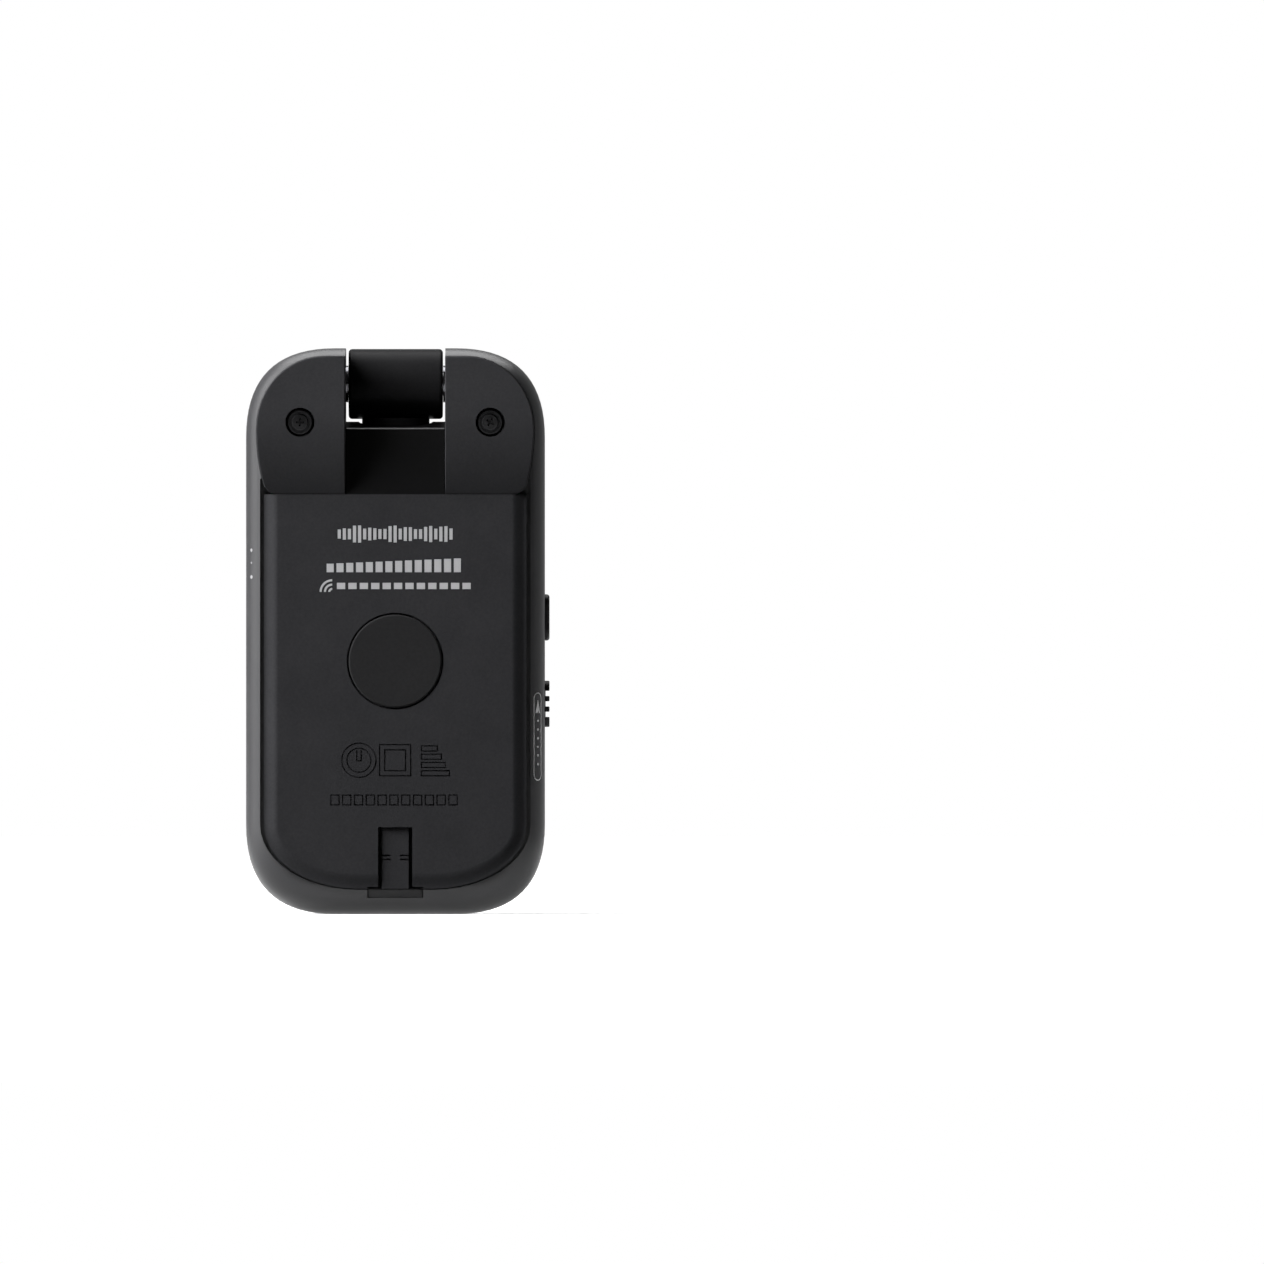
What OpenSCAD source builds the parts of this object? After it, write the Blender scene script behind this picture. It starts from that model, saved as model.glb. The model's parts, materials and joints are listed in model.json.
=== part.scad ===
// Folding-plug wireless transmitter for an electric guitar.
// Frame: +Z up to the hinge end, -Y the back with the raised panel, +Y the front
// with the plug channel, +X the side with the button and the slide switch.
// The origin is the middle of the flat strip at the bottom end.

/* [Housing] */
// Width of the housing
body_w = 38; // [37:0.5:46]
// Height of the housing
body_h = 72; // [71:0.5:88]
// Radius of the housing's four corners
corner_r = 10; // [8:0.5:11]
// Distance from the middle of the side walls to the front face
front_y = 6.4; // [6:0.1:8]
// Half of the side wall's straight depth
side_half = 4.4; // [3.6:0.1:4.8]
// Radius of the side wall's edge to the back
edge_back_r = 3.7; // [3:0.1:4]
// Radius of the side wall's edge to the front
edge_front_r = 2; // [1:0.1:2.4]
// Thickness of the side walls
side_wall = 1.5; // [1.2:0.1:1.8]
// Thickness of the front wall
front_wall = 1.6; // [1.2:0.1:2]

/* [Back cover] */
// Inset of the raised panel from the housing's sides
panel_inset_x = 2.15; // [1.9:0.05:2.6]
// Inset of the raised panel from the bottom end
panel_inset_z = 3.1; // [2.6:0.1:4]
// Reach of the panel's rounded edge
panel_edge = 2.2; // [1.4:0.1:2.6]
// Thickness of the back cover
cover_wall = 1.4; // [1.2:0.1:1.8]
// Radius of the rubber pad
pad_r = 5.9; // [4:0.1:8]
// Height of the pad's centre
pad_z = 32.2; // [28:0.1:36]
// Depth of the pad's recess
pad_depth = 0.7; // [0.5:0.1:0.8]
// Half width of the docking slot's stem
slot_half = 2.17; // [1.8:0.01:2.6]
// Half width of the docking slot's foot
slot_foot_half = 3.55; // [3:0.05:4.5]
// Height of the docking slot's top end
slot_top_z = 11.1; // [10:0.1:11.5]

/* [Shoulder cover] */
// Height of the shoulder cover, from its lower edge to the housing's top
shoulder_h = 18.6; // [17.5:0.1:20]
// Rise of the shoulder cover above the panel
shoulder_rise = 2.4; // [1.5:0.1:3]
// Inset of the shoulder cover from the housing's top
shoulder_inset_z = 1.1; // [1:0.05:1.4]
// Inset of the shoulder cover from the housing's sides
shoulder_inset_x = 1.38; // [1.2:0.02:1.6]
// Distance of each shoulder screw from the middle
screw_x = 12.08; // [11.6:0.02:12.6]
// Distance of the shoulder screws from the housing's top
screw_drop = 9.45; // [9:0.05:10]
// Radius of the shoulder screw's head
screw_head_r = 1.35; // [1.2:0.05:1.5]
// Radius of the counterbore around the screw's head
counterbore_r = 1.85; // [1.7:0.05:2.1]

/* [Hinge] */
// Radius of the hinge knuckle
knuckle_r = 4.46; // [4.3:0.02:4.6]
// Width of the hinge knuckle
knuckle_w = 12; // [10:0.1:13.6]
// Gap between the knuckle and the housing on each side
knuckle_gap = 0.35; // [0.25:0.05:0.6]
// Radius of the hollow hinge axle
axle_r = 1.5; // [1.3:0.05:1.8]
// Radius of the bushes that show in the gaps
bush_r = 2.35; // [2.2:0.05:2.8]
// Thickness of each hinge ear
ear_t = 3.8; // [3:0.1:4.4]

/* [Plug] */
// Radius of the plug's sleeve
plug_r = 3.175; // [3:0.005:3.2]
// Length of the plug from its flange to the end of its tip
plug_length = 30.7; // [26:0.1:37]
// Length of the plug's tip section
tip_length = 8.4; // [8:0.1:9]
// Radius of the collar between the knuckle and the plug
collar_r = 4.3; // [3.9:0.05:4.4]
// Length of the collar, from the hinge axis
collar_length = 9; // [8:0.1:10]
// Space around the plug and collar in their channel
channel_gap = 0.45; // [0.4:0.05:1.2]

/* [Inside] */
// Thickness of the main board
board_t = 0.8; // [0.6:0.1:1.2]
// Thickness of the battery
battery_t = 2.8; // [2.4:0.1:3.4]
// Width of the battery
battery_w = 28; // [20:0.5:29]
// Thickness of the battery tape
tape_t = 0.3; // [0.2:0.05:0.5]

/* [Controls] */
// Height of the side button's middle, down from the housing's top
button_drop = 34.25; // [33:0.05:36]
// Length of the side button
button_l = 5.9; // [5:0.1:7]
// Depth of the side button
button_w = 2.6; // [2:0.1:3]
// Height of the slide knob's middle, down from the housing's top
knob_drop = 45.25; // [44.5:0.05:47]
// Length of the slide knob
knob_l = 5.9; // [5:0.1:6.5]
// Travel of the slide knob
knob_travel = 2; // [1.5:0.1:2.5]
// How far the button and knob stand out of the side
control_proud = 0.6; // [0.4:0.05:0.8]
// Height of the charging socket's middle, down from the housing's top
socket_drop = 27.4; // [26:0.1:29]

/* [Hidden] */
$fn = 48;
over = 1;          // how far a cut runs past the face it opens
seat = 0.02;       // clearance of parts that sit in each other
fit_gap = 0.1;     // clearance of covers in their openings
rim_angle = 25;    // tilt at which the rounded back edge meets the panel

// hinge
hinge_z = body_h - knuckle_r - 0.04;
hinge_y = front_y - knuckle_r - 0.14;
notch_half = knuckle_w / 2 + knuckle_gap;
notch_z = hinge_z - knuckle_r - 0.34;
ear_out = notch_half + ear_t;
running = 0.05;
collar_end_z = hinge_z - collar_length;
flange_t = 1.2;
flange_z = collar_end_z - flange_t;
tip_z = flange_z - plug_length;
tip_top_z = tip_z + tip_length;
ring_t = 1.2;
ring_top_z = tip_top_z + ring_t;
rod_r = 1.25;
bore_r = 2;        // bore of the plug's sleeve
stub_r = 2.6;      // root of the sleeve inside the collar
stub_top_z = collar_end_z + 4.1;
collar_back_z = hinge_z - knuckle_r + 0.1;   // top of the collar behind the knuckle
channel_r = plug_r + 0.675 + channel_gap;
collar_channel_r = collar_r + channel_gap;
channel_end_z = tip_z - 0.8;
channel_wall = 1;

// back stack: channel, board, battery, tape, cover
board_front_y = hinge_y - channel_r - channel_wall - 0.2;
board_back_y = board_front_y - board_t;
battery_front_y = board_back_y - 0.2;
battery_back_y = battery_front_y - battery_t;
cover_in_y = battery_back_y - tape_t;
panel_y = cover_in_y - cover_wall;
shoulder_y = panel_y - shoulder_rise;
rim_y = -side_half - edge_back_r * cos(rim_angle);
ledge_y = rim_y + 1.35;
ledge_t = 0.8;
ledge_w = 1;

// housing inside
wall_in_x = body_w / 2 - side_wall;
front_in_y = front_y - front_wall;
shoulder_z = body_h - shoulder_h;
recess_top_z = notch_z - 0.8;
screw_z = body_h - screw_drop;
screw_r = 1;
boss_r = 2.6;
head_t = 1.2;
screw_head_y = shoulder_y + 0.4;
screw_tip_y = 1.5;
lobe_wall = 1.3;
lobe_in_x = notch_half + lobe_wall;
lobe_out_x = body_w / 2 - shoulder_inset_x - lobe_wall;
tab_in_x = lobe_in_x + 0.2;
tab_out_y = ledge_y - cover_wall;
ramp_t = 1;
ramp_top_y = hinge_y - collar_channel_r - channel_wall - ramp_t - 0.1;

// board
board_top_z = shoulder_z + 0.6;
board_bottom_z = 5;
board_half = wall_in_x - 1.2;
board_corner_r = 7.5;
board_screw_z = [8.2, board_top_z - 2.6];
board_screw_x = [11.6, 8.6];
board_screw_r = 0.75;
post_r = 1.9;
battery_top_z = board_top_z - 5.2;
battery_bottom_z = slot_top_z + 1.5;

// controls, all on the board's front side
side_y = board_front_y + 1.5;
side_x = body_w / 2;
button_z = body_h - button_drop;
knob_z = body_h - knob_drop;
socket_z = body_h - socket_drop;
dish_depth = 0.6;
tact_out = board_half - 0.1;

// ---- shapes shared by several pieces ----

// lays a drawing of X and Z on the plane at depth y0 and gives it thickness towards +Y
module slab(y0, y1) {
    translate([0, y1, 0]) rotate([90, 0, 0]) linear_extrude(y1 - y0) children();
}

// a round bar along Y
module bar_y(r, y0, y1, x = 0, z = 0) {
    translate([x, y1, z]) rotate([90, 0, 0]) cylinder(r = r, h = y1 - y0);
}

// a round bar along X
module bar_x(r, x0, x1, y = 0, z = 0) {
    translate([x0, y, z]) rotate([0, 90, 0]) cylinder(r = r, h = x1 - x0);
}

// a block between two corners
module block(low, high) {
    translate(low) cube(high - low);
}

// a stadium along X: long in Z, round at its ends
module stadium_x(length, width, x0, x1, y, z) {
    half = (length - width) / 2;
    bar_x(width / 2, x0, x1, y, z - half);
    bar_x(width / 2, x0, x1, y, z + half);
    block([x0, y - width / 2, z - half], [x1, y + width / 2, z + half]);
}

function ellipse(cx, cz, rx, rz, from, to, steps) =
    [for (i = [0:steps]) let(a = from + (to - from) * i / steps) [cx + rx * cos(a), cz + rz * sin(a)]];

// the same on the other side, mirrored across the middle
module both_sides() {
    children();
    mirror([1, 0, 0]) children();
}

// rounded rectangle, standing on z0, shrunk on all sides by inset
module body_outline(inset = 0, r = corner_r) {
    half = body_w / 2 - inset;
    q = r - inset;
    polygon(concat(
        ellipse(half - q, body_h - inset - q, q, q, 0, 90, 12),
        ellipse(q - half, body_h - inset - q, q, q, 90, 180, 12),
        ellipse(q - half, inset + q, q, q, 180, 270, 12),
        ellipse(half - q, inset + q, q, q, 270, 360, 12)));
}

// outline of the raised panel: wide elliptical corners at the bottom end
panel_rx = 12.1;
panel_rz = 8.3;
module panel_outline(inset = 0, top = shoulder_z) {
    half = body_w / 2 - panel_inset_x - inset;
    rx = panel_rx - inset;
    rz = panel_rz - inset;
    z = panel_inset_z + panel_rz;
    polygon(concat(
        ellipse(rx - half, z, rx, rz, 180, 270, 12),
        ellipse(half - rx, z, rx, rz, 270, 360, 12),
        [[half, top], [-half, top]]));
}

// outline of the shoulder cover: an elliptical top corner, a long bowed side, a tight lower corner
bow_r = 28;
bow_angle = 13.3;
lobe_rx = 8.52;
lobe_rz = 9.2;
lobe_corner_r = 1.9;
module shoulder_outline(inset = 0) {
    half = body_w / 2 - shoulder_inset_x - inset;
    top = body_h - shoulder_inset_z - inset;
    bow_z = body_h - shoulder_inset_z - lobe_rz;
    low = shoulder_z + inset;
    q = lobe_corner_r - inset / 2;
    side = [for (i = [0:5]) let(a = -bow_angle * i / 5)
        [half - bow_r * (1 - cos(a)), bow_z + bow_r * sin(a)]];
    lower_x = side[5][0] - q * cos(bow_angle);
    right = concat(
        ellipse(half - lobe_rx + inset, bow_z, lobe_rx - inset, lobe_rz - inset, 90, 0, 12),
        side,
        ellipse(lower_x, low + q, q, q, -bow_angle, -90, 5));
    polygon(concat(right, [for (i = [len(right) - 1:-1:0]) [-right[i][0], right[i][1]]]));
}

// ---- housing ----

// corner of the housing's outer form: a round puck with both edges rounded
module housing_puck() {
    q = corner_r;
    front = q - edge_front_r;
    back = q - edge_back_r;
    profile = concat([[0, -front_y]],
        ellipse(front, edge_front_r - front_y, edge_front_r, edge_front_r, -90, 0, 5),
        ellipse(back, side_half, edge_back_r, edge_back_r, 0, 90 - rim_angle, 6),
        [[0, -rim_y]]);
    rotate([90, 0, 0]) rotate_extrude($fn = 56) polygon(profile);
}

module housing_form() {
    hull() for (x = [-1, 1], z = [corner_r, body_h - corner_r])
        translate([x * (body_w / 2 - corner_r), 0, z]) housing_puck();
}

// clear space inside the side walls, from the back ledge to the front wall
module housing_cavity() {
    slab(ledge_y + ledge_t, front_in_y) body_outline(side_wall);
}

// the groove that holds the folded plug, wider around the collar
module plug_groove(extra = 0, top = body_h + over) {
    plug_half = channel_r + extra;
    collar_half = collar_channel_r + extra;
    collar_low = flange_z - 0.6 - extra;
    plug_low = channel_end_z - extra;
    translate([0, hinge_y, plug_low]) cylinder(r = plug_half, h = top - plug_low);
    block([-plug_half, hinge_y, plug_low], [plug_half, front_y + over, top]);
    translate([0, hinge_y, collar_low]) cylinder(r = collar_half, h = top - collar_low);
    block([-collar_half, hinge_y, collar_low], [collar_half, front_y + over, top]);
}

// the notch's floor falls away to the ramp, to leave room for the collar when it points back and down
module notch_slope() {
    foot_y = hinge_y - collar_channel_r - channel_wall;
    translate([-notch_half, 0, 0]) rotate([90, 0, 90]) linear_extrude(2 * notch_half)
        polygon([[hinge_y - 0.5, notch_z], [foot_y, recess_top_z], [rim_y - over, recess_top_z],
                 [rim_y - over, body_h], [hinge_y - 0.5, body_h]]);
}

// finger scoop across the front, around the plug's tip
module finger_scoop(extra = 0) {
    bar_y(8 + extra, front_y - 3 - extra, front_y + over, 0, tip_z + 5.5);
}

// opening of the charging socket, with a small lead-in at its mouth
module socket_opening() {
    stadium_x(9.4, 3.6, -side_x - over, -side_x + side_wall + over, side_y, socket_z);
    stadium_x(10.4, 4.6, -side_x - over, -side_x + 0.35, side_y, socket_z);
}

module control_openings() {
    in = side_x - side_wall - over;
    out = side_x + over;
    // button hole
    stadium_x(button_l + 0.24, button_w + 0.24, in, out, side_y, button_z);
    // shallow dish for the slide knob and its travel
    stadium_x(knob_l + knob_travel + 0.4, button_w + 0.6, side_x - dish_depth, out, side_y,
              knob_z - knob_travel / 2);
    // slot for the knob's stem
    block([in, side_y - 0.7, knob_z - 1.3 - knob_travel], [side_x, side_y + 0.7, knob_z + 1.3]);
}

module light_pipe_holes() {
    for (x = lamp_x) bar_y(lamp_r + 0.05, front_in_y - over, front_y + over, x, lamp_z);
}
lamp_x = [-3, 0, 3];
lamp_r = 0.8;
lamp_z = channel_end_z - 9;

// foot of the docking slot, cut through the rounded bottom edge
module slot_foot() {
    block([-slot_foot_half, rim_y - over, 2.1], [slot_foot_half, ledge_y - 0.2, 3.5]);
}

module front_shell() {
    color("#3c3c3e") difference() {
        housing_form();
        difference() {
            housing_cavity();
            // the plug groove's wall
            intersection() {
                union() {
                    plug_groove(channel_wall);
                    finger_scoop(channel_wall);
                }
                block([-side_x, -side_x, 0], [side_x, front_y, body_h]);
            }
            // hinge ears
            both_sides() block([notch_half, ledge_y - over, notch_z - 2.5], [ear_out, front_y, body_h]);
            // floor of the notch
            block([-ear_out, hinge_y - collar_channel_r - channel_wall, notch_z - 1.6],
                  [ear_out, front_y, notch_z + over]);
            // posts for the shoulder screws
            both_sides() bar_y(boss_r, ledge_y - over, front_y, screw_x, screw_z);
            // posts for the board screws
            both_sides() for (i = [0, 1])
                bar_y(post_r, board_front_y, front_y, board_screw_x[i], board_screw_z[i]);
        }
        // way in from the back, inside the ledge that the cover sits on
        slab(ledge_y - over, ledge_y + ledge_t + 0.01) panel_outline(ledge_w, shoulder_z + 6);
        slab(ledge_y, ledge_y + ledge_t + 0.01) difference() {
            shoulder_outline(ledge_w);
            both_sides() {
                translate([screw_x, screw_z]) circle(boss_r);
                translate([notch_half, notch_z - 2.5]) square([ear_t, body_h]);
            }
        }
        slab(rim_y - over, ledge_y) union() {
            panel_outline(-fit_gap, shoulder_z + 2);
            shoulder_outline(-fit_gap);
        }
        // notch for the knuckle, right through
        block([-notch_half, rim_y - over, notch_z], [notch_half, front_y + over, body_h + over]);
        notch_slope();
        plug_groove();
        finger_scoop();
        // bores for the hinge bushes
        bar_x(bush_r + seat, -ear_out - over, ear_out + over, hinge_y, hinge_z);
        // pilot holes of the screws
        both_sides() bar_y(screw_r + seat, rim_y - over, screw_tip_y + 1, screw_x, screw_z);
        both_sides() for (i = [0, 1])
            bar_y(board_screw_r + seat, rim_y, board_front_y + 4, board_screw_x[i], board_screw_z[i]);
        slot_foot();
        socket_opening();
        control_openings();
        light_pipe_holes();
    }
}

// quarter of the panel's rounded form, drawn as a squashed puck
module panel_puck() {
    rise = rim_y - panel_y;
    profile = concat([[0, -ledge_y], [panel_rx, -ledge_y]],
        ellipse(panel_rx - panel_edge, -rim_y, panel_edge, rise, 0, 90, 6),
        [[0, -panel_y]]);
    scale([1, 1, panel_rz / panel_rx]) rotate([90, 0, 0]) rotate_extrude($fn = 48) polygon(profile);
}

module panel_form() {
    half = body_w / 2 - panel_inset_x;
    hull() for (x = [-1, 1], z = [panel_inset_z + panel_rz, body_h])
        translate([x * (half - panel_rx), 0, z]) panel_puck();
}

module back_cover() {
    color("#323234") difference() {
        union() {
            intersection() {
                difference() {
                    panel_form();
                    // hollow behind the panel
                    slab(cover_in_y, ledge_y + over) panel_outline(1.6, shoulder_z - 1);
                }
                block([-side_x, panel_y - over, 0], [side_x, ledge_y, shoulder_z]);
            }
            // thick patch behind the docking slot
            slab(panel_y + 0.5, ledge_y) translate([-slot_half - 1, panel_inset_z + 1])
                square([2 * slot_half + 2, slot_top_z + 0.9 - panel_inset_z - 1]);
            // tabs under the shoulder cover, each with a step down from the panel
            both_sides() {
                slab(tab_out_y, ledge_y) difference() {
                    intersection() {
                        shoulder_outline(lobe_wall + 0.25);
                        translate([tab_in_x, shoulder_z - 1]) square([side_x, screw_z + 3.4 - shoulder_z]);
                    }
                    translate([screw_x, screw_z]) circle(screw_r + 0.15);
                }
                block([tab_in_x, tab_out_y, shoulder_z - 1.3], [lobe_out_x - 0.4, ledge_y, shoulder_z + 3]);
            }
        }
        bar_y(pad_r + 0.25, panel_y - over, panel_y + pad_depth, 0, pad_z);
        docking_slot();
    }
}

// the docking slot in the cover: a stem with a raised tongue in it and two ribs across its flanks
tongue_half = slot_half - 0.47;
rib_z = [7.05, 7.4];
module docking_slot() {
    difference() {
        block([-slot_half, panel_y - over, 0], [slot_half, panel_y + 1.9, slot_top_z]);
        block([-tongue_half, panel_y + 0.5, 0], [tongue_half, ledge_y, slot_top_z + over]);
    }
    both_sides() for (z = rib_z)
        block([0.6, panel_y, z - 0.06], [tongue_half, panel_y + 0.8, z + 0.06]);
    block([-slot_foot_half, panel_y - over, 0], [slot_foot_half, ledge_y - 0.2, 3.5]);
}

// side view of the shoulder cover: flat on top, then rolling down to the panel
roll_z = body_h - 7.9;
module shoulder_side() {
    drop = shoulder_rise;
    run = roll_z - shoulder_z;
    roll_r = (run * run + drop * drop) / (2 * drop);
    roll_angle = asin(run / roll_r);
    translate([-side_x, 0, 0]) rotate([90, 0, 90]) linear_extrude(body_w)
        polygon(concat(
            [[ledge_y, body_h], [shoulder_y, body_h]],
            [for (i = [0:10]) let(a = roll_angle * i / 10)
                [shoulder_y + roll_r * (1 - cos(a)), roll_z - roll_r * sin(a)]],
            [[ledge_y, shoulder_z]]));
}

// side view of the ramp between the lobes
module ramp(x_half, lift) {
    translate([-x_half, 0, 0]) rotate([90, 0, 90]) linear_extrude(2 * x_half)
        polygon([[panel_y, shoulder_z], [ramp_top_y, recess_top_z],
                 [ramp_top_y + lift, recess_top_z], [panel_y + lift, shoulder_z]]);
}

module shoulder_cover() {
    color("#343436") difference() {
        union() {
            difference() {
                intersection() {
                    shoulder_side();
                    slab(shoulder_y, ledge_y) shoulder_outline();
                }
                block([-notch_half, shoulder_y - over, 0], [notch_half, ledge_y + over, body_h]);
                // hollow of each lobe
                both_sides() slab(panel_y + 0.3, ledge_y + over) intersection() {
                    shoulder_outline(lobe_wall);
                    translate([lobe_in_x, 0]) square([side_x, body_h]);
                }
            }
            ramp(notch_half - 0.05, ramp_t);
            intersection() {
                ramp(notch_half + 0.1, ramp_t);
                block([-side_x, panel_y, 0], [side_x, ledge_y, body_h]);
            }
            // bosses of the screws
            both_sides() bar_y(counterbore_r + 0.9, screw_head_y - 0.2, tab_out_y, screw_x, screw_z);
        }
        both_sides() {
            // the back cover's tabs pass under the lower edge
            block([lobe_in_x, tab_out_y, 0], [lobe_out_x, ledge_y + over, shoulder_z + 3.2]);
            bar_y(counterbore_r, shoulder_y - over, screw_head_y + head_t, screw_x, screw_z);
            bar_y(screw_r + 0.15, shoulder_y, ledge_y, screw_x, screw_z);
        }
    }
}

// a pan-head screw along Y with its head at the back and a cross recess
module cross_screw(x, z, head_y, head_r, head_h, shaft_r, tip_y, turn) {
    difference() {
        union() {
            bar_y(head_r, head_y, head_y + head_h, x, z);
            bar_y(shaft_r, head_y + head_h - 0.1, tip_y, x, z);
        }
        translate([x, head_y, z]) for (q = [0, 90]) rotate([0, turn + q, 0])
            block([-head_r * 0.62, -over, -head_r * 0.13], [head_r * 0.62, head_h * 0.5, head_r * 0.13]);
    }
}

module shoulder_screws() {
    color("#222224") {
        cross_screw(-screw_x, screw_z, screw_head_y, screw_head_r, head_t, screw_r, screw_tip_y, 0);
        cross_screw(screw_x, screw_z, screw_head_y, screw_head_r, head_t, screw_r, screw_tip_y, 30);
    }
}

module back_pad() {
    color("#1c1c1d") bar_y(pad_r, panel_y - 0.15, panel_y + pad_depth, 0, pad_z);
}

// ---- inside ----

module battery() {
    color("#b9bcc0") block([-battery_w / 2, battery_back_y, battery_bottom_z],
                           [battery_w / 2, battery_front_y, battery_top_z]);
}

module battery_tape() {
    color("#d8d8d2") block([3 - battery_w / 2, cover_in_y, battery_bottom_z + 3],
                           [battery_w / 2 - 3, battery_back_y, battery_top_z - 3]);
}

connector_z = board_top_z - 1.5;
module battery_leads() {
    length = connector_z - 1 - battery_top_z;
    color("#a02020") for (x = [-0.8, 0.8])
        translate([x, board_back_y - 0.8, battery_top_z]) cylinder(r = 0.4, h = length);
}

module battery_connector() {
    color("#e8e4d8")
        block([-2.2, board_back_y - 1.4, connector_z - 1], [2.2, board_back_y, connector_z + 1]);
}

module main_board() {
    q = board_corner_r;
    x = board_half - q;
    z = board_bottom_z + q;
    color("#14402c") difference() {
        slab(board_back_y, board_front_y) polygon(concat(
            [[board_half, board_top_z], [-board_half, board_top_z]],
            ellipse(-x, z, q, q, 180, 270, 8),
            ellipse(x, z, q, q, 270, 360, 8)));
        both_sides() for (i = [0, 1])
            bar_y(board_screw_r + 0.15, board_back_y - over, board_front_y + over,
                  board_screw_x[i], board_screw_z[i]);
    }
}

module board_screws() {
    color("silver") both_sides() for (i = [0, 1])
        cross_screw(board_screw_x[i], board_screw_z[i], board_back_y - 0.7, 1.3, 0.7, board_screw_r,
                    board_front_y + 3.4, 0);
}

// a flat component on the board's front side
module component(x, z, size_x, size_z, height) {
    translate([x - size_x / 2, board_front_y, z - size_z / 2]) cube([size_x, height, size_z]);
}

bay_x = board_half - 5;
module shield_can() { color("silver") component(-bay_x, socket_z - 14, 8, 12, 1.6); }
module processor_chip() { color("#202020") component(bay_x - 0.6, socket_z + 1.2, 5, 5, 0.9); }
module audio_chip() { color("#202020") component(-bay_x, board_bottom_z + 12, 4, 4, 0.9); }
module charger_chip() { color("#202020") component(bay_x - 1, board_bottom_z + 11, 3, 3, 0.9); }
module crystal() { color("#c8c8c8") component(-bay_x + 0.5, socket_z - 22.3, 3.2, 2.5, 0.8); }

// inverted-F antenna: a strip held off the board by two legs
module antenna() {
    color("#c9a25a") {
        low = board_front_y;
        high = low + 3;
        z = board_bottom_z + 3.2;
        block([-8, high - 0.3, z - 0.8], [3, high, z + 0.8]);
        block([-8, low, z - 0.8], [-7.7, high - 0.3, z + 0.8]);
        block([-5, low, z - 0.8], [-4.7, high - 0.3, z + 0.8]);
    }
}

// charging socket: a flattened tube with its mouth in the side wall
socket_in = -side_x + 0.5;
socket_depth = 7.3;
module socket_shell() {
    color("#9a9ca0") difference() {
        stadium_x(8.94, 3, socket_in, socket_in + socket_depth, side_y, socket_z);
        stadium_x(8.34, 2.4, socket_in - over, socket_in + socket_depth - 0.4, side_y, socket_z);
    }
}

module socket_tongue() {
    color("#1a1a1a") block([socket_in + 0.9, side_y - 0.35, socket_z - 3.3],
                           [socket_in + socket_depth - 0.4, side_y + 0.35, socket_z + 3.3]);
}

module tact_switch() {
    color("#2a2a2a") difference() {
        component(tact_out - 1.5, button_z, 3, 4.4, 3);
        stadium_x(2.2, 1.2, tact_out - 1, tact_out + over, side_y, button_z);
    }
}

module slide_switch() {
    color("#8f9296") difference() {
        component(tact_out - 1.5, knob_z - knob_travel / 2, 3, 6.8, 3);
        block([tact_out - 1.6, side_y - 0.75, knob_z - knob_travel - 0.9],
              [tact_out + over, side_y + 0.75, knob_z + 0.9]);
    }
}

module status_lamps() {
    color("#e8e8d0") for (x = lamp_x) component(x, lamp_z, 1.1, 1.6, 0.6);
}

module light_pipes() {
    color("#dfe6ea") {
        for (x = lamp_x) bar_y(lamp_r, board_front_y + 0.9, front_y, x, lamp_z);
        block([lamp_x[0], front_in_y - 1.1, lamp_z - 0.55], [lamp_x[2], front_in_y, lamp_z + 0.55]);
    }
}

// ---- hinge ----

washer_t = 0.3;
clip_t = 0.4;
clip_x = ear_out + washer_t + 0.05;
axle_end = clip_x + clip_t + 0.6;
groove_r = axle_r - 0.25;

module hinge_axle() {
    color("#8c8f94") difference() {
        bar_x(axle_r, -axle_end, axle_end, hinge_y, hinge_z);
        bar_x(0.75, -axle_end - over, axle_end + over, hinge_y, hinge_z);
        both_sides() difference() {
            bar_x(axle_r + over, clip_x, clip_x + clip_t, hinge_y, hinge_z);
            bar_x(groove_r, 0, axle_end + over, hinge_y, hinge_z);
        }
    }
}

module hinge_bushes() {
    color("#55585c") both_sides() difference() {
        bar_x(bush_r, knuckle_w / 2 + running, ear_out, hinge_y, hinge_z);
        bar_x(axle_r + seat, 0, ear_out + over, hinge_y, hinge_z);
    }
}

module friction_washers() {
    color("#b0b3b6") both_sides() difference() {
        bar_x(bush_r + 0.5, ear_out, ear_out + washer_t, hinge_y, hinge_z);
        bar_x(axle_r + 0.1, 0, axle_end, hinge_y, hinge_z);
    }
}

module axle_clips() {
    color("#7d8084") both_sides() difference() {
        bar_x(axle_r + 1, clip_x, clip_x + clip_t, hinge_y, hinge_z);
        bar_x(groove_r + seat, 0, axle_end, hinge_y, hinge_z);
    }
}

// two insulated leads from the hollow axle's end down to the board, each a bent round wire
function spline(p, i, t) =
    let(a = p[max(i - 1, 0)], b = p[i], c = p[i + 1], d = p[min(i + 2, len(p) - 1)])
    b + 0.5 * t * (c - a + t * (2 * a - 5 * b + 4 * c - d + t * (3 * b - a - 3 * c + d)));
function smooth(p, steps) = concat(
    [for (i = [0:len(p) - 2], k = [0:steps - 1]) spline(p, i, k / steps)], [p[len(p) - 1]]);
function unit(v) = v / norm(v);

module wire(points, r) {
    path = smooth(points, 4);
    sides = 8;
    last = len(path) - 1;
    rings = [for (i = [0:last])
        let(t = unit(path[min(i + 1, last)] - path[max(i - 1, 0)]),
            u = unit(cross(t, [0, 1, 0.02])), v = cross(t, u))
        for (k = [0:sides - 1]) path[i] + r * (cos(360 * k / sides) * u + sin(360 * k / sides) * v)];
    faces = concat(
        [[for (k = [0:sides - 1]) k]],
        [for (i = [0:last - 1], k = [0:sides - 1]) let(a = i * sides, b = a + sides, next = (k + 1) % sides)
            [a + k, b + k, b + next, a + next]],
        [[for (k = [sides - 1:-1:0]) last * sides + k]]);
    polyhedron(rings, faces);
}

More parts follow.
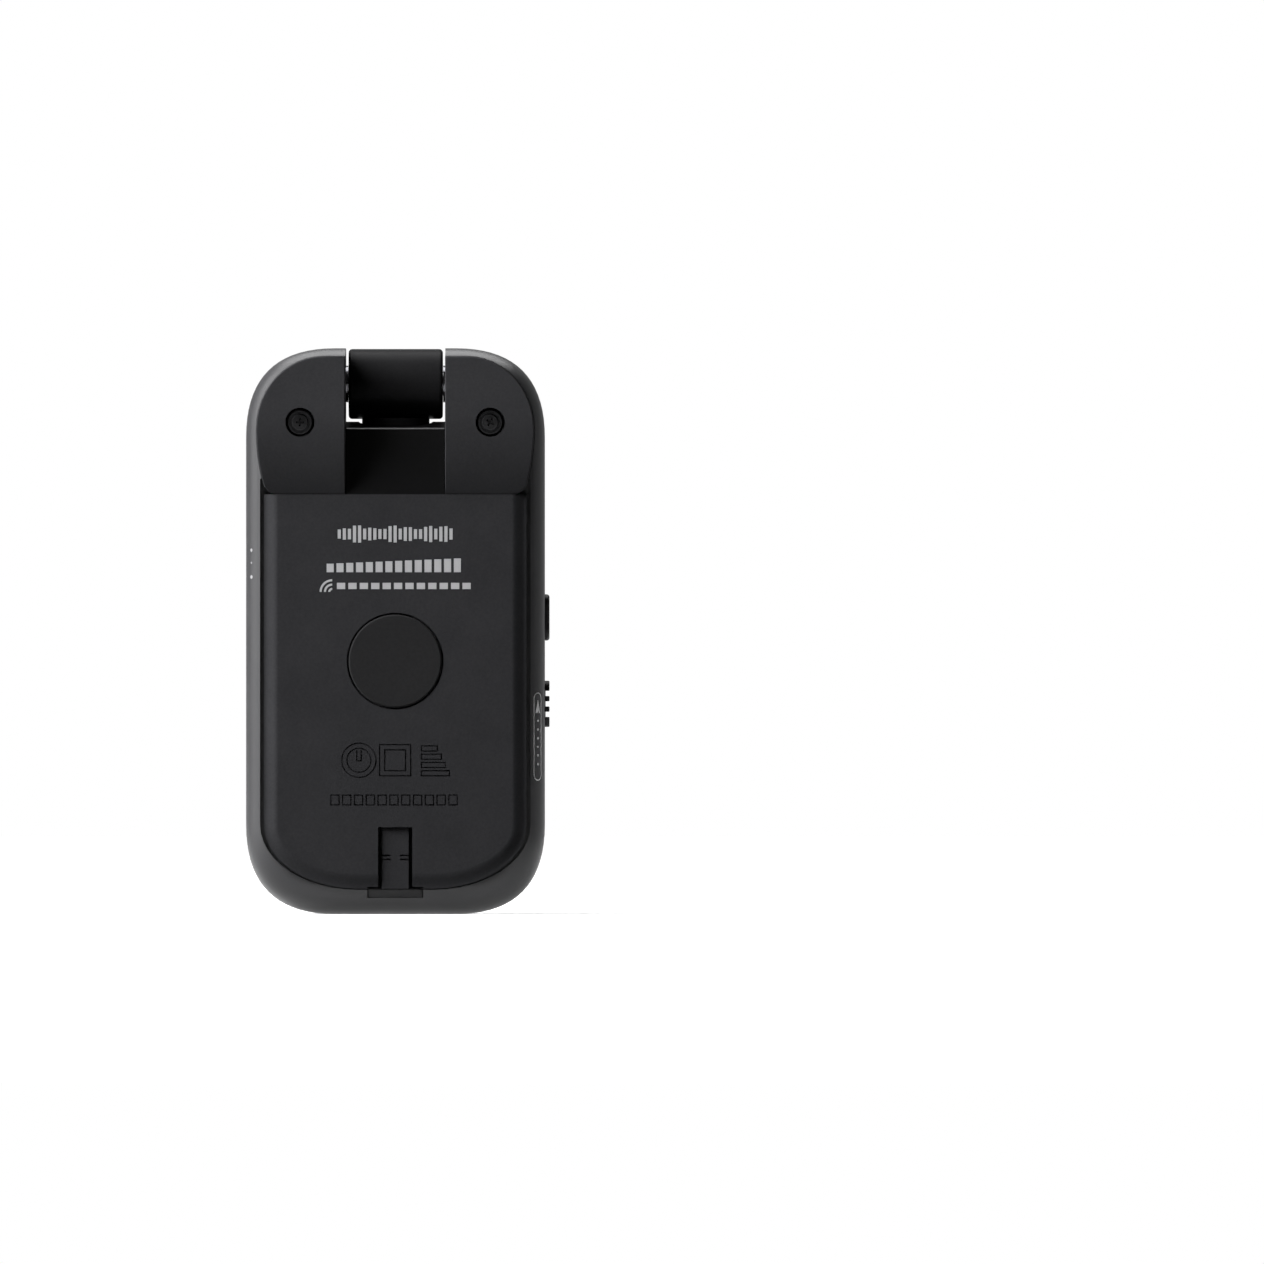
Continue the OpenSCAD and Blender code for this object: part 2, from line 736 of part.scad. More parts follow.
lead_r = 0.3;
module signal_leads() {
    end = -axle_end;
    y = hinge_y;
    z = hinge_z;
    bend = -screw_x - 0.42;
    bay = -screw_x - boss_r - 1.62;
    pad = -board_half;
    color("#b03a2e") wire([
        [end + 1, y - 0.36, z], [end, y - 0.36, z], [bend, y - 0.8, z - 1],
        [bay, y - 1.6, z - 6], [bay, y - 3, z - 11],
        [pad + 2.4, board_front_y + 0.9, board_top_z + 0.4],
        [pad + 3, board_front_y + lead_r, board_top_z - 1.6]], lead_r);
    color("#d8d8d8") wire([
        [end + 1, y + 0.36, z], [end, y + 0.36, z], [bend, y + 0.3, z - 1],
        [bay, y - 0.4, z - 6], [bay, y - 1.6, z - 11],
        [pad + 3.6, board_front_y + 1.9, board_top_z + 0.6],
        [pad + 4.6, board_front_y + lead_r, board_top_z - 1.8]], lead_r);
}

// ---- plug arm, drawn folded ----

knuckle_rim = 0.45;
module plug_arm() {
    half = knuckle_w / 2;
    rim = knuckle_r - knuckle_rim;
    color("#151516") difference() {
        union() {
            translate([0, hinge_y, hinge_z]) rotate([0, 90, 0]) rotate_extrude() polygon(concat(
                [[0, -half]],
                ellipse(rim, knuckle_rim - half, knuckle_rim, knuckle_rim, -90, 0, 4),
                ellipse(rim, half - knuckle_rim, knuckle_rim, knuckle_rim, 0, 90, 4),
                [[0, half]]));
            // behind the axle the collar stops under the knuckle, whose back stays plainly round
            difference() {
                translate([0, hinge_y, collar_end_z]) cylinder(r = collar_r, h = collar_length);
                block([-collar_r - over, hinge_y - collar_r - over, collar_back_z],
                      [collar_r + over, hinge_y, hinge_z + over]);
            }
        }
        bar_x(axle_r + running, -half - over, half + over, hinge_y, hinge_z);
        // seat of the sleeve's root, and a way for the leads up to the axle
        translate([0, hinge_y, 0]) {
            cylinder(r = stub_r + seat, h = stub_top_z);
            cylinder(r = bore_r, h = hinge_z - axle_r - 0.7);
        }
    }
}

module plug_flange() {
    color("#8c8f94") translate([0, hinge_y, flange_z]) difference() {
        cylinder(r = collar_r - 0.1, h = flange_t);
        translate([0, 0, -over]) cylinder(r = stub_r + seat, h = flange_t + 2 * over);
    }
}

module plug_sleeve() {
    color("#a9acb0") translate([0, hinge_y, 0]) difference() {
        union() {
            translate([0, 0, ring_top_z]) cylinder(r = plug_r, h = flange_z - ring_top_z);
            translate([0, 0, flange_z - 0.1]) cylinder(r = stub_r, h = stub_top_z - flange_z + 0.1);
        }
        translate([0, 0, ring_top_z - over]) cylinder(r = bore_r, h = stub_top_z - ring_top_z + 2 * over);
    }
}

module insulator_ring() {
    color("#0c0c0c") translate([0, hinge_y, tip_top_z]) difference() {
        cylinder(r = plug_r - 0.03, h = ring_t);
        translate([0, 0, -over]) cylinder(r = rod_r + seat, h = ring_t + 2 * over);
    }
}

// nose, neck and shoulder of the plug's tip, from its end upwards
module plug_tip() {
    widest = plug_r - 0.1;
    ring = plug_r - 0.03;
    color("#a9acb0") translate([0, hinge_y, tip_z]) difference() {
        rotate_extrude() polygon([
            [0, 0], [1.3, 0], [1.75, 0.25], [widest, 3.1], [widest, 3.5], [2.1, 5.3], [2.1, 5.9],
            [ring, tip_length - 1], [ring, tip_length], [0, tip_length]]);
        translate([0, 0, tip_length - 3]) cylinder(r = rod_r + seat, h = 3 + over);
    }
}

module contact_rod() {
    color("#b89a5a") translate([0, hinge_y, tip_top_z - 3])
        cylinder(r = rod_r, h = stub_top_z + 0.5 - tip_top_z + 3);
}

module rod_insulator() {
    color("#e6e6e0") translate([0, hinge_y, ring_top_z]) difference() {
        cylinder(r = bore_r - seat, h = stub_top_z - ring_top_z);
        translate([0, 0, -over]) cylinder(r = rod_r + seat, h = stub_top_z - ring_top_z + 2 * over);
    }
}

// ---- controls ----

collar_x = wall_in_x - 0.15;   // outer face of the collar that keeps the button in
collar_t = 0.6;
module button_cap() {
    color("#111112") {
        stadium_x(button_l, button_w, collar_x - 0.1, side_x + control_proud, side_y, button_z);
        stadium_x(button_l + 1.2, button_w + 1, collar_x - collar_t, collar_x, side_y, button_z);
    }
}

module switch_stem() {
    color("#c8b890") stadium_x(2, 1, tact_out - 0.55, collar_x - collar_t, side_y, button_z);
}

lever_x = wall_in_x - 0.3;     // where the knob's stem meets the switch's lever

// ridged knob: a base plate with four teeth on it and a stem through the wall
module slide_knob() {
    outer = side_x + control_proud;
    base = side_x - dish_depth + 0.05;
    color("#111112") {
        difference() {
            stadium_x(knob_l, button_w, base, outer, side_y, knob_z);
            for (k = [-1, 0, 1])
                block([outer - 0.5, side_y - button_w, knob_z + k * 1.33 - 0.33],
                      [outer + over, side_y + button_w, knob_z + k * 1.33 + 0.33]);
        }
        block([lever_x, side_y - 0.6, knob_z - 1.2], [base + 0.1, side_y + 0.6, knob_z + 1.2]);
    }
}

module switch_lever() {
    color("#202022")
        block([tact_out - 1.5, side_y - 0.6, knob_z - 0.8], [lever_x, side_y + 0.6, knob_z + 0.8]);
}

front_shell();
back_cover();
shoulder_cover();
shoulder_screws();
back_pad();
battery();
battery_tape();
battery_leads();
battery_connector();
main_board();
board_screws();
shield_can();
processor_chip();
audio_chip();
charger_chip();
crystal();
antenna();
socket_shell();
socket_tongue();
tact_switch();
slide_switch();
status_lamps();
light_pipes();
hinge_axle();
hinge_bushes();
friction_washers();
axle_clips();
signal_leads();
plug_arm();
plug_flange();
plug_sleeve();
insulator_ring();
plug_tip();
contact_rod();
rod_insulator();
button_cap();
switch_stem();
slide_knob();
switch_lever();
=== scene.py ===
# %% [markdown]
# # A wireless guitar transmitter with a folding plug
#
# The object is a pocket-sized black plastic case that stands on its bottom end. Its hinge end holds a
# knuckle that carries a guitar plug, which folds into a channel in the front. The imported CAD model
# gives every size and every moving part, and this notebook gives it its finish.

# %% Load the frame
import json
import math

import bmesh
import bpy
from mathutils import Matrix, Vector


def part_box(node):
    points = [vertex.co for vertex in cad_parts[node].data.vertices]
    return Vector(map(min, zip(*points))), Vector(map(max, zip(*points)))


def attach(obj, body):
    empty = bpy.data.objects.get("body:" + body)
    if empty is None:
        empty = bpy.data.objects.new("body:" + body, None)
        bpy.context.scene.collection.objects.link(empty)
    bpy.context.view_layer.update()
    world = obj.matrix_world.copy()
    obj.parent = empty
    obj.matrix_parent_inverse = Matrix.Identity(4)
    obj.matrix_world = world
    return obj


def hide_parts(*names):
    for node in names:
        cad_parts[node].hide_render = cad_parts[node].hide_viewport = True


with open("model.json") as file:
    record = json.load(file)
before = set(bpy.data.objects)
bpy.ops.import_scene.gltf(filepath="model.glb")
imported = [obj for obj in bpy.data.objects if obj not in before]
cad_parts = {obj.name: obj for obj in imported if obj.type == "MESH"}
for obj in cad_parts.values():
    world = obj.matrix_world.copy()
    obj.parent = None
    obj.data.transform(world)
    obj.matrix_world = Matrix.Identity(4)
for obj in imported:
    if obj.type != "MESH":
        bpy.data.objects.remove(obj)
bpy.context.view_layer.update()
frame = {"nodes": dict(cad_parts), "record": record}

# %% [markdown]
# ## Sizes
#
# Blender's operators have fixed small thresholds that suit things of about a metre. This case has edges
# of a tenth of a millimetre, so each piece is modelled with one Blender unit for a millimetre and is
# scaled to metres when it is finished. Places come from the boxes of the CAD pieces.

# %% Sizes in millimetres
MM = 0.001


def span(node):
    """Lowest and highest corner of a CAD piece, in millimetres."""
    low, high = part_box(node)
    return low / MM, high / MM


case_low, case_high = span("front_shell")
panel_low, panel_high = span("back_cover")
shoulder_low, shoulder_high = span("shoulder_cover")
half_width = case_high.x
case_top = case_high.z
front_y = case_high.y
panel_y = panel_low.y
shoulder_y = shoulder_low.y
shoulder_z = shoulder_low.z
seam_y = case_low.y
ledge_y = panel_high.y
print("case", tuple(case_low), tuple(case_high), "panel at", panel_y, "shoulder at", shoulder_y)

# %% [markdown]
# ## Working as by hand
#
# These helpers do what a hand does at the screen: select one object, select faces or edges by where they
# are, cut one solid with another. An operator acts on everything that is selected, so each helper starts
# by deselecting.


# %% Selecting and cutting
def only(piece):
    """Makes one object the only selected and active one."""
    bpy.ops.object.select_all(action="DESELECT")
    piece.select_set(True)
    bpy.context.view_layer.objects.active = piece


def edit(piece, kind="FACE"):
    """Enters edit mode with nothing selected."""
    only(piece)
    bpy.ops.object.mode_set(mode="EDIT")
    bpy.ops.mesh.select_mode(type=kind)
    bpy.ops.mesh.select_all(action="DESELECT")


def pick(piece, kind, wanted):
    """In edit mode, selects the verts, edges or faces for which wanted(item) is true."""
    mesh = bmesh.from_edit_mesh(piece.data)
    for item in [item for item in getattr(mesh, kind) if wanted(item)]:
        item.select_set(True)
    bmesh.update_edit_mesh(piece.data)


def leave():
    bpy.ops.object.mode_set(mode="OBJECT")


def apply(piece, kind, **settings):
    """Adds a modifier, sets it and applies it at once."""
    modifier = piece.modifiers.new(kind.lower(), kind)
    for name, value in settings.items():
        setattr(modifier, name, value)
    only(piece)
    bpy.ops.object.modifier_apply(modifier=modifier.name)


def combine(piece, tool, operation="DIFFERENCE"):
    """Cuts a tool out of a piece, or adds it, and removes the tool."""
    apply(piece, "BOOLEAN", object=tool, operation=operation, solver="EXACT")
    bpy.data.objects.remove(tool)


def cut(piece, *tools):
    for tool in tools:
        combine(piece, tool)


def add(piece, *tools):
    for tool in tools:
        combine(piece, tool, "UNION")


# %% Blocks and rods
def block(low, high):
    """A box between two corners."""
    low, high = Vector(low), Vector(high)
    bpy.ops.object.select_all(action="DESELECT")
    bpy.ops.mesh.primitive_cube_add(size=1, location=(low + high) / 2)
    bpy.context.object.scale = high - low
    bpy.ops.object.transform_apply(location=True, rotation=True, scale=True)
    return bpy.context.object


TURN = {"X": (0, math.pi / 2, 0), "Y": (math.pi / 2, 0, 0), "Z": (0, 0, 0)}


def rod(axis, radius, start, end, side=96):
    """A round rod along X, Y or Z between two points on its axis."""
    start, end = Vector(start), Vector(end)
    bpy.ops.object.select_all(action="DESELECT")
    bpy.ops.mesh.primitive_cylinder_add(vertices=side, radius=radius, depth=(end - start).length,
                                        location=(start + end) / 2, rotation=TURN[axis])
    bpy.ops.object.transform_apply(location=True, rotation=True, scale=True)
    return bpy.context.object


# %% [markdown]
# ## Turning on a lathe
#
# Screws, pads, dials and knuckles are round. Each starts as a disc, which is extruded and resized from
# one station to the next, as a lathe hand reads a profile along the bar.


# %% Turned solids
def turned(axis, at, stations, side=64):
    """A round solid along an axis from a point. A station is a distance along the axis and a radius."""
    start, radius = stations[0]
    bpy.ops.object.select_all(action="DESELECT")
    bpy.ops.mesh.primitive_circle_add(vertices=side, radius=radius, fill_type="NGON", location=(0, 0, 0))
    solid = bpy.context.object
    edit(solid)
    bpy.ops.mesh.select_all(action="SELECT")
    last = start
    for place, r in stations[1:]:
        bpy.ops.mesh.extrude_region_move(TRANSFORM_OT_translate={"value": (0, 0, place - last)})
        bpy.ops.transform.resize(value=(r / radius, r / radius, 1), center_override=(0, 0, place - start))
        last, radius = place, r
    bpy.ops.mesh.select_all(action="SELECT")
    bpy.ops.mesh.normals_make_consistent(inside=False)
    leave()
    shift = {"X": (start, 0, 0), "Y": (0, -start, 0), "Z": (0, 0, start)}[axis]
    solid.rotation_euler = TURN[axis]
    solid.location = Vector(at) + Vector(shift)
    only(solid)
    bpy.ops.object.transform_apply(location=True, rotation=True, scale=True)
    return solid


def rounded(place, radius, fillet, steps):
    """Stations of a rounded rim that ends at a place."""
    turns = [math.pi / 2 * i / steps for i in range(steps + 1)]
    return [(place - fillet * (1 - math.sin(a)), radius - fillet * (1 - math.cos(a))) for a in turns]


# %% [markdown]
# ## Drawing outlines
#
# The case, the panel and the shoulder are flat outlines with rounded corners, given a thickness. Each
# outline is drawn as a closed Bezier curve: a corner is where its two sides would meet, with how far
# the rounding reaches back along each side. The length of a Bezier handle decides whether the corner is
# a true arc or, with a longer handle, the slightly squarer corner that moulded cases often have.


# %% Outline to solid
def knots_of(corners, fullness):
    """Knots (place, left handle, right handle) of a closed outline. None leaves a handle straight."""
    knots = []
    for i, (x, z, before, after) in enumerate(corners):
        here = Vector((x, z))
        back = (Vector(corners[i - 1][:2]) - here).normalized()
        on = (Vector(corners[(i + 1) % len(corners)][:2]) - here).normalized()
        if before == 0:
            knots.append((here, None, None))
            continue
        turn = math.pi - back.angle(on)
        reach = 4 / 3 * math.tan(turn / 4) / math.tan(turn / 2) * fullness
        start, end = here + back * before, here + on * after
        knots.append((start, None, start.lerp(here, reach)))
        knots.append((end, end.lerp(here, reach), None))
    return knots


def prism(corners, start, end, axis="Y", fullness=1.0, steps=12):
    """A solid with this outline between two places on an axis: corners are (X, Z) for Y and (Y, Z) for X.

    The curve starts from Blender's circle of four points, so an outline needs at least four knots.
    """
    place = (lambda p: (p.x, start, p.y)) if axis == "Y" else (lambda p: (start, p.x, p.y))
    knots = knots_of(corners, fullness)
    bpy.ops.object.select_all(action="DESELECT")
    bpy.ops.curve.primitive_bezier_circle_add()
    curve = bpy.context.object
    curve.data.resolution_u = steps
    points = curve.data.splines[0].bezier_points
    points.add(max(0, len(knots) - len(points)))
    for point, (here, left, right) in zip(points, knots):
        point.handle_left_type = "VECTOR" if left is None else "FREE"
        point.handle_right_type = "VECTOR" if right is None else "FREE"
        point.co = place(here)
        point.handle_left = place(here if left is None else left)
        point.handle_right = place(here if right is None else right)
    bpy.ops.object.convert(target="MESH")
    solid = bpy.context.object
    edit(solid, "VERT")
    bpy.ops.mesh.select_all(action="SELECT")
    bpy.ops.mesh.remove_doubles(threshold=0.001)
    bpy.ops.mesh.dissolve_limited(angle_limit=math.radians(0.05))
    bpy.ops.mesh.select_all(action="SELECT")
    bpy.ops.mesh.edge_face_add()
    step = (0, end - start, 0) if axis == "Y" else (end - start, 0, 0)
    bpy.ops.mesh.extrude_region_move(TRANSFORM_OT_translate={"value": step})
    bpy.ops.mesh.select_all(action="SELECT")
    bpy.ops.mesh.normals_make_consistent(inside=False)
    leave()
    return solid


def round_edges(piece, wanted, radius, segments=3):
    """Rounds the edges for which wanted(edge) is true."""
    edit(piece, "EDGE")
    pick(piece, "edges", wanted)
    bpy.ops.mesh.bevel(offset=radius, segments=segments, profile=0.5, affect="EDGES", clamp_overlap=False)
    leave()


def round_rim(piece, wanted, radius, segments=3):
    """Rounds the edges for which wanted(place) is true of both ends."""
    round_edges(piece, lambda e: wanted(e.verts[0].co) and wanted(e.verts[1].co), radius, segments)


def near(a, b, gap=0.002):
    return abs(a - b) < gap


# %% [markdown]
# ## Finishes
#
# Almost everything that shows is black plastic, and what tells the pieces apart is how each surface was
# made: the case was moulded in a satin cavity, the panel and the shoulder in a spark-eroded one, the pad
# is cast silicone and the screws are black oxide steel. So the colours differ little, and the grain and
# the gloss do the work. Every pattern reads Object coordinates, which are metres here, so a grain of
# a fifth of a millimetre is a scale of five thousand.


# %% Material tools
def colour(code):
    """The linear values that shaders use, from an sRGB hex code."""
    parts = [int(code[i:i + 2], 16) / 255 for i in (1, 3, 5)]
    return (*[p / 12.92 if p <= 0.04045 else ((p + 0.055) / 1.055) ** 2.4 for p in parts], 1)


def add_node(material, kind, inputs, **settings):
    """Adds a node with its settings, and gives its sockets values or links."""
    made = material.node_tree.nodes.new(kind)
    for name, value in settings.items():
        setattr(made, name, value)
    for name, value in inputs.items():
        if isinstance(value, bpy.types.NodeSocket):
            material.node_tree.links.new(value, made.inputs[name])
        else:
            made.inputs[name].default_value = value
    return made


def start_material(name, code, **values):
    """A new material whose shader has this colour and these fixed values."""
    material = bpy.data.materials.new(name)
    material.use_nodes = True
    shader = material.node_tree.nodes["Principled BSDF"]
    shader.inputs["Base Color"].default_value = colour(code)
    for socket, value in values.items():
        shader.inputs[socket.replace("_", " ")].default_value = value
    return material, shader


def per_mm(size):
    """Scale of a pattern whose features are this many millimetres across."""
    return 1 / (size * MM)


def add_ranged(material, value, from_min, from_max, to_min=0.0, to_max=1.0):
    """A value that is moved from one range to another, and kept inside it."""
    node = add_node(material, "ShaderNodeMapRange", {"Value": value, "From Min": from_min, "From Max": from_max,
                                                     "To Min": to_min, "To Max": to_max})
    return node.outputs["Result"]


def add_math(material, a, b, operation="MULTIPLY"):
    """Two values multiplied, or put together by another operation."""
    return add_node(material, "ShaderNodeMath", {0: a, 1: b}, operation=operation).outputs[0]


def add_blend(material, share, first, second):
    """A colour between two hex codes."""
    inputs = {"Factor": share, 6: colour(first), 7: colour(second)}
    return add_node(material, "ShaderNodeMix", inputs, data_type="RGBA").outputs[2]


patch_size = 6


def moulded(name, code, shades, size, depth, rough, spread, **values):
    """A material with grain: a bump of this size and depth in millimetres, and patches of gloss and shade."""
    made, shader = start_material(name, code, **values)
    place = add_node(made, "ShaderNodeTexCoord", {}).outputs["Object"]
    fine = add_node(made, "ShaderNodeTexNoise", {"Vector": place, "Scale": per_mm(size), "Detail": 3.0,
                                                 "Roughness": 0.6}).outputs["Fac"]
    wide = add_node(made, "ShaderNodeTexNoise", {"Vector": place, "Scale": per_mm(patch_size),
                                                 "Detail": 4.0}).outputs["Fac"]
    bump = add_node(made, "ShaderNodeBump", {"Height": fine, "Distance": depth * MM, "Strength": 1.0})
    gloss = add_ranged(made, wide, 0.3, 0.7, rough - spread, rough + spread)
    tint = add_ranged(made, add_math(made, fine, wide, "ADD"), 0.6, 1.4)
    links = made.node_tree.links
    links.new(bump.outputs["Normal"], shader.inputs["Normal"])
    links.new(gloss, shader.inputs["Roughness"])
    links.new(add_blend(made, tint, *shades), shader.inputs["Base Color"])
    return made


def metal(name, code, rough, spread, size, depth):
    """A metal with fine marks from making it: patches of gloss and a shallow bump."""
    return moulded(name, code, (code, code), size, depth, rough, spread, Metallic=1.0)


def speckled(name, rough, size, shades, **values):
    """A plain solid material with a slight mottle, for parts inside the case."""
    return moulded(name, shades[0], shades, size, 0.003, rough, 0.04, **values)


def printed_ink(name, code, shades):
    """Pad printing ink: nearly even, with a faint tooth."""
    return moulded(name, code, shades, 0.12, 0.002, 0.5, 0.04)


# %% Black plastics
# Polycarbonate and ABS from a satin cavity: nearly smooth, with a soft even sheen.
satin_case = moulded("case_satin_pc_abs", "#232325", ("#212123", "#262628"), 0.22, 0.004, 0.4, 0.03,
                     IOR=1.5, Specular_IOR_Level=0.35)
# ABS from a spark-eroded cavity: a fine dry grain that scatters light and hides fingerprints.
spark_panel = moulded("panel_spark_abs", "#323234", ("#2e2e30", "#363638"), 0.3, 0.02, 0.6, 0.03,
                      IOR=1.5, Specular_IOR_Level=0.03)
# The same ABS as the panel, from its own cavity, a shade lighter.
spark_shoulder = moulded("shoulder_spark_abs", "#363638", ("#333335", "#3a3a3c"), 0.3, 0.02, 0.6, 0.03,
                         IOR=1.5, Specular_IOR_Level=0.03)
# Glass-filled nylon for the knuckle: blacker and smoother than the case.
satin_nylon = moulded("knuckle_satin_nylon", "#1b1b1d", ("#19191a", "#1e1e1f"), 0.3, 0.005, 0.36, 0.04,
                      IOR=1.07)
# A smooth black nylon for the recess where the collar turns past, much darker than the knuckle: its colour is
# painted shade for the hollow under the hinge.
recess_painted_shade = moulded("recess_nylon_painted_shade", "#0a0a0b", ("#090909", "#0c0c0d"), 0.4, 0.003, 0.5, 0.04,
                          IOR=1.5, Specular_IOR_Level=0.03)
# Acetal for the button and the knob, which rub in their openings and so must be slippery.
acetal_knob = moulded("knob_black_acetal", "#0b0b0c", ("#0a0a0b", "#0e0e0f"), 0.25, 0.005, 0.4, 0.04,
                      IOR=1.25)
# Cast silicone rubber: matte, a little powdery, with nothing sharp in its reflections.
cast_silicone = moulded("pad_silicone", "#262627", ("#212122", "#272728"), 0.35, 0.018, 0.78, 0.05,
                        IOR=1.41, Specular_IOR_Level=0.1, Sheen_Weight=0.04)

# %% Inks, and the finish of each material slot
back_ink = printed_ink("pad_print_ink", "#b4b4b6", ("#aeaeb0", "#bababc"))
# The right side's print ink is a whiter copy of the back's, painted lighter because that side gets little
# light.
side_ink_painted_lighter = printed_ink("pad_print_ink_painted_lighter", "#f2f2f2", ("#eeeeee", "#f6f6f6"))
# The socket marks' ink is a darker copy of the back's, painted darker because the left side is lit strongly.
socket_ink_painted_darker = printed_ink("pad_print_ink_painted_darker", "#868688", ("#828284", "#8a8a8c"))
finishes = {
    "case_plastic": satin_case,
    "panel_plastic": spark_panel,
    "knuckle_plastic": satin_nylon,
    "knob_plastic": acetal_knob,
    "pad_rubber": cast_silicone,
    "black_screw_steel": metal("screw_black_oxide_steel", "#2a2a2b", 0.42, 0.08, 0.2, 0.004),
    "dark_steel": metal("bush_black_nickel", "#6c6c70", 0.25, 0.04, 0.3, 0.002),
    "nickel_plate": metal("plug_nickel_plate", "#c9c5bd", 0.16, 0.04, 0.4, 0.001),
    "bright_steel": metal("tinned_steel", "#b9babd", 0.3, 0.06, 0.4, 0.002),
    "contact_brass": metal("phosphor_bronze", "#c79a5b", 0.28, 0.05, 0.4, 0.002),
    "chip_resin": speckled("moulded_epoxy", 0.6, 0.15, ("#18181a", "#202022")),
    "board_laminate": speckled("green_solder_mask", 0.3, 0.5, ("#0e3a26", "#14482f"), Coat_Weight=0.4),
    "battery_foil": speckled("laminated_foil", 0.35, 0.6, ("#b4b7bb", "#c3c6ca"), Metallic=0.85),
    "foam_tape": speckled("white_foam_tape", 0.85, 0.2, ("#cfcfc8", "#dededa")),
    "red_wire": speckled("wire_insulation", 0.4, 0.5, ("#9c2420", "#a82c26")),
    "cream_plastic": speckled("natural_nylon", 0.45, 0.4, ("#d9d3c2", "#e4dfd0")),
    "lamp_resin": speckled("lamp_epoxy", 0.3, 0.3, ("#dcdccb", "#e8e8d8")),
    "clear_plastic": speckled("clear_polycarbonate", 0.08, 0.6, ("#e9eef0", "#f2f5f6"), IOR=1.585,
                              Transmission_Weight=0.85),
}
print(len(bpy.data.materials), "materials in the file")


# %% Finish a piece
crisp_angle = math.radians(32)


def smooth(piece):
    """Smooth shading, with flat faces kept flat and corners sharper than crisp_angle kept crisp."""
    only(piece)
    bpy.ops.object.shade_smooth_by_angle(angle=crisp_angle, keep_sharp_edges=False)
    apply(piece, "WEIGHTED_NORMAL", keep_sharp=True, weight=60)


def finish_piece(piece, name, body, material_slot, *nodes):
    """Names a piece, gives it its finish, brings it to metres and lets it stand for its CAD nodes."""
    piece.name = piece.data.name = name
    if not piece.data.materials:
        piece.data.materials.append(finishes[material_slot])
    smooth(piece)
    piece.scale = (MM, MM, MM)
    only(piece)
    bpy.ops.object.transform_apply(location=True, rotation=True, scale=True)
    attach(piece, body)
    if nodes:
        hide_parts(*nodes)
    print(name, len(piece.data.polygons), "faces")


# %% [markdown]
# ## Shared places
#
# The hinge, the plug's channel and the controls are used by more than one piece, so their places are
# worked out once, from the CAD pieces that sit in them.

# %% Places from the frame
axle_low, axle_high = span("hinge_axle")
arm_high = span("plug_arm")[1]
tip_low, tip_high = span("plug_tip")
bush_low, bush_high = span("hinge_bushes")
screw_low, screw_high = span("shoulder_screws")
pad_low, pad_high = span("back_pad")
button_low, button_high = span("button_cap")
knob_low, knob_high = span("slide_knob")
socket_low, socket_high = span("socket_shell")
lamp_low, lamp_high = span("light_pipes")

hinge_y = (axle_low.y + axle_high.y) / 2
hinge_z = (axle_low.z + axle_high.z) / 2
knuckle_half = arm_high.x
notch_half = knuckle_half + 0.35
notch_z = case_top - 9.3
recess_z = notch_z - 0.8
bush_r = (bush_high.z - bush_low.z) / 2
ear_x = bush_high.x
channel_r = span("plug_sleeve")[1].x + 1.125
collar_r = span("plug_flange")[1].x + 0.1
collar_channel_r = collar_r + 0.45
collar_low_z = span("plug_flange")[0].z - 0.6
channel_z = tip_low.z - 0.8
wall = 1.0
notch_foot_y = hinge_y - collar_channel_r - wall
ramp_top_y = notch_foot_y - wall - 0.1
behind_y = seam_y - 3

screw_r = 1.35
screw_x = screw_high.x - screw_r
screw_z = (screw_low.z + screw_high.z) / 2
screw_y = screw_low.y
counterbore_r = 1.85
screw_post_r, screw_pilot_r = 2.6, 1.02
board_post_r, board_pilot_r = 1.9, 0.77
board_post_places = (11.6, 8.2), (8.6, shoulder_z - 2)

pad_r = pad_high.x
pad_z = (pad_low.z + pad_high.z) / 2
recess_depth = 0.7

slot_half, slot_top_z, slot_depth = 2.17, 11.1, 1.9
slot_tongue_half = slot_half - 0.47
slot_foot_half, slot_foot_z, slot_foot_y = 3.55, (2.1, 3.5), -7.25

side_y = (button_low.y + button_high.y) / 2
button_z = (button_low.z + button_high.z) / 2
knob_z = (knob_low.z + knob_high.z) / 2
socket_z = (socket_low.z + socket_high.z) / 2
lamp_z = (lamp_low.z + lamp_high.z) / 2
lamp_x = (lamp_low.x + 0.8, 0, lamp_high.x - 0.8)
print("hinge at", round(hinge_y, 3), round(hinge_z, 3), "screws at", round(screw_x, 3), round(screw_z, 3))

# %% [markdown]
# ## Three outlines
#
# The case has corners a little squarer than circles. The panel's lower corners are wide and low, so they
# are quarters of an ellipse. The shoulder has an elliptical upper corner, a long side that bows gently
# inwards, and a tight lower corner.

# %% Outlines
case_fullness = 1.2
case_corner = 11.25
back_edge_r, front_edge_r = 3.7, 2
back_edge_y = -4.4
panel_corner_x, panel_corner_z = 12.1, 8.3
shoulder_corner_x, shoulder_corner_z = 8.52, 9.2
bow = math.radians(13.3)
bow_r = 28


def case_corners(inset=0):
    x, low, high, r = half_width - inset, inset, case_top - inset, case_corner - inset
    return [(x, high, r, r), (x, low, r, r), (-x, low, r, r), (-x, high, r, r)]


def panel_corners(inset=0, top=shoulder_z):
    x, low = panel_high.x - inset, panel_low.z + inset
    rx, rz = panel_corner_x - inset, panel_corner_z - inset
    return [(x, top, 0, 0), (x, low, rz, rx), (-x, low, rx, rz), (-x, top, 0, 0)]


def shoulder_corners(inset=0):
    x, top, low = shoulder_high.x - inset, shoulder_high.z - inset, shoulder_z + inset
    knee = bow_r * math.tan(bow / 2)
    knee_z = shoulder_high.z - shoulder_corner_z - knee
    low_x = x - (knee_z - low) * math.tan(bow)
    right = [(x, top, shoulder_corner_x - inset, shoulder_corner_z - inset), (x, knee_z, knee, knee),
             (low_x, low, 1.5, 1.5)]
    return right + [(-cx, cz, after, before) for cx, cz, before, after in reversed(right)]


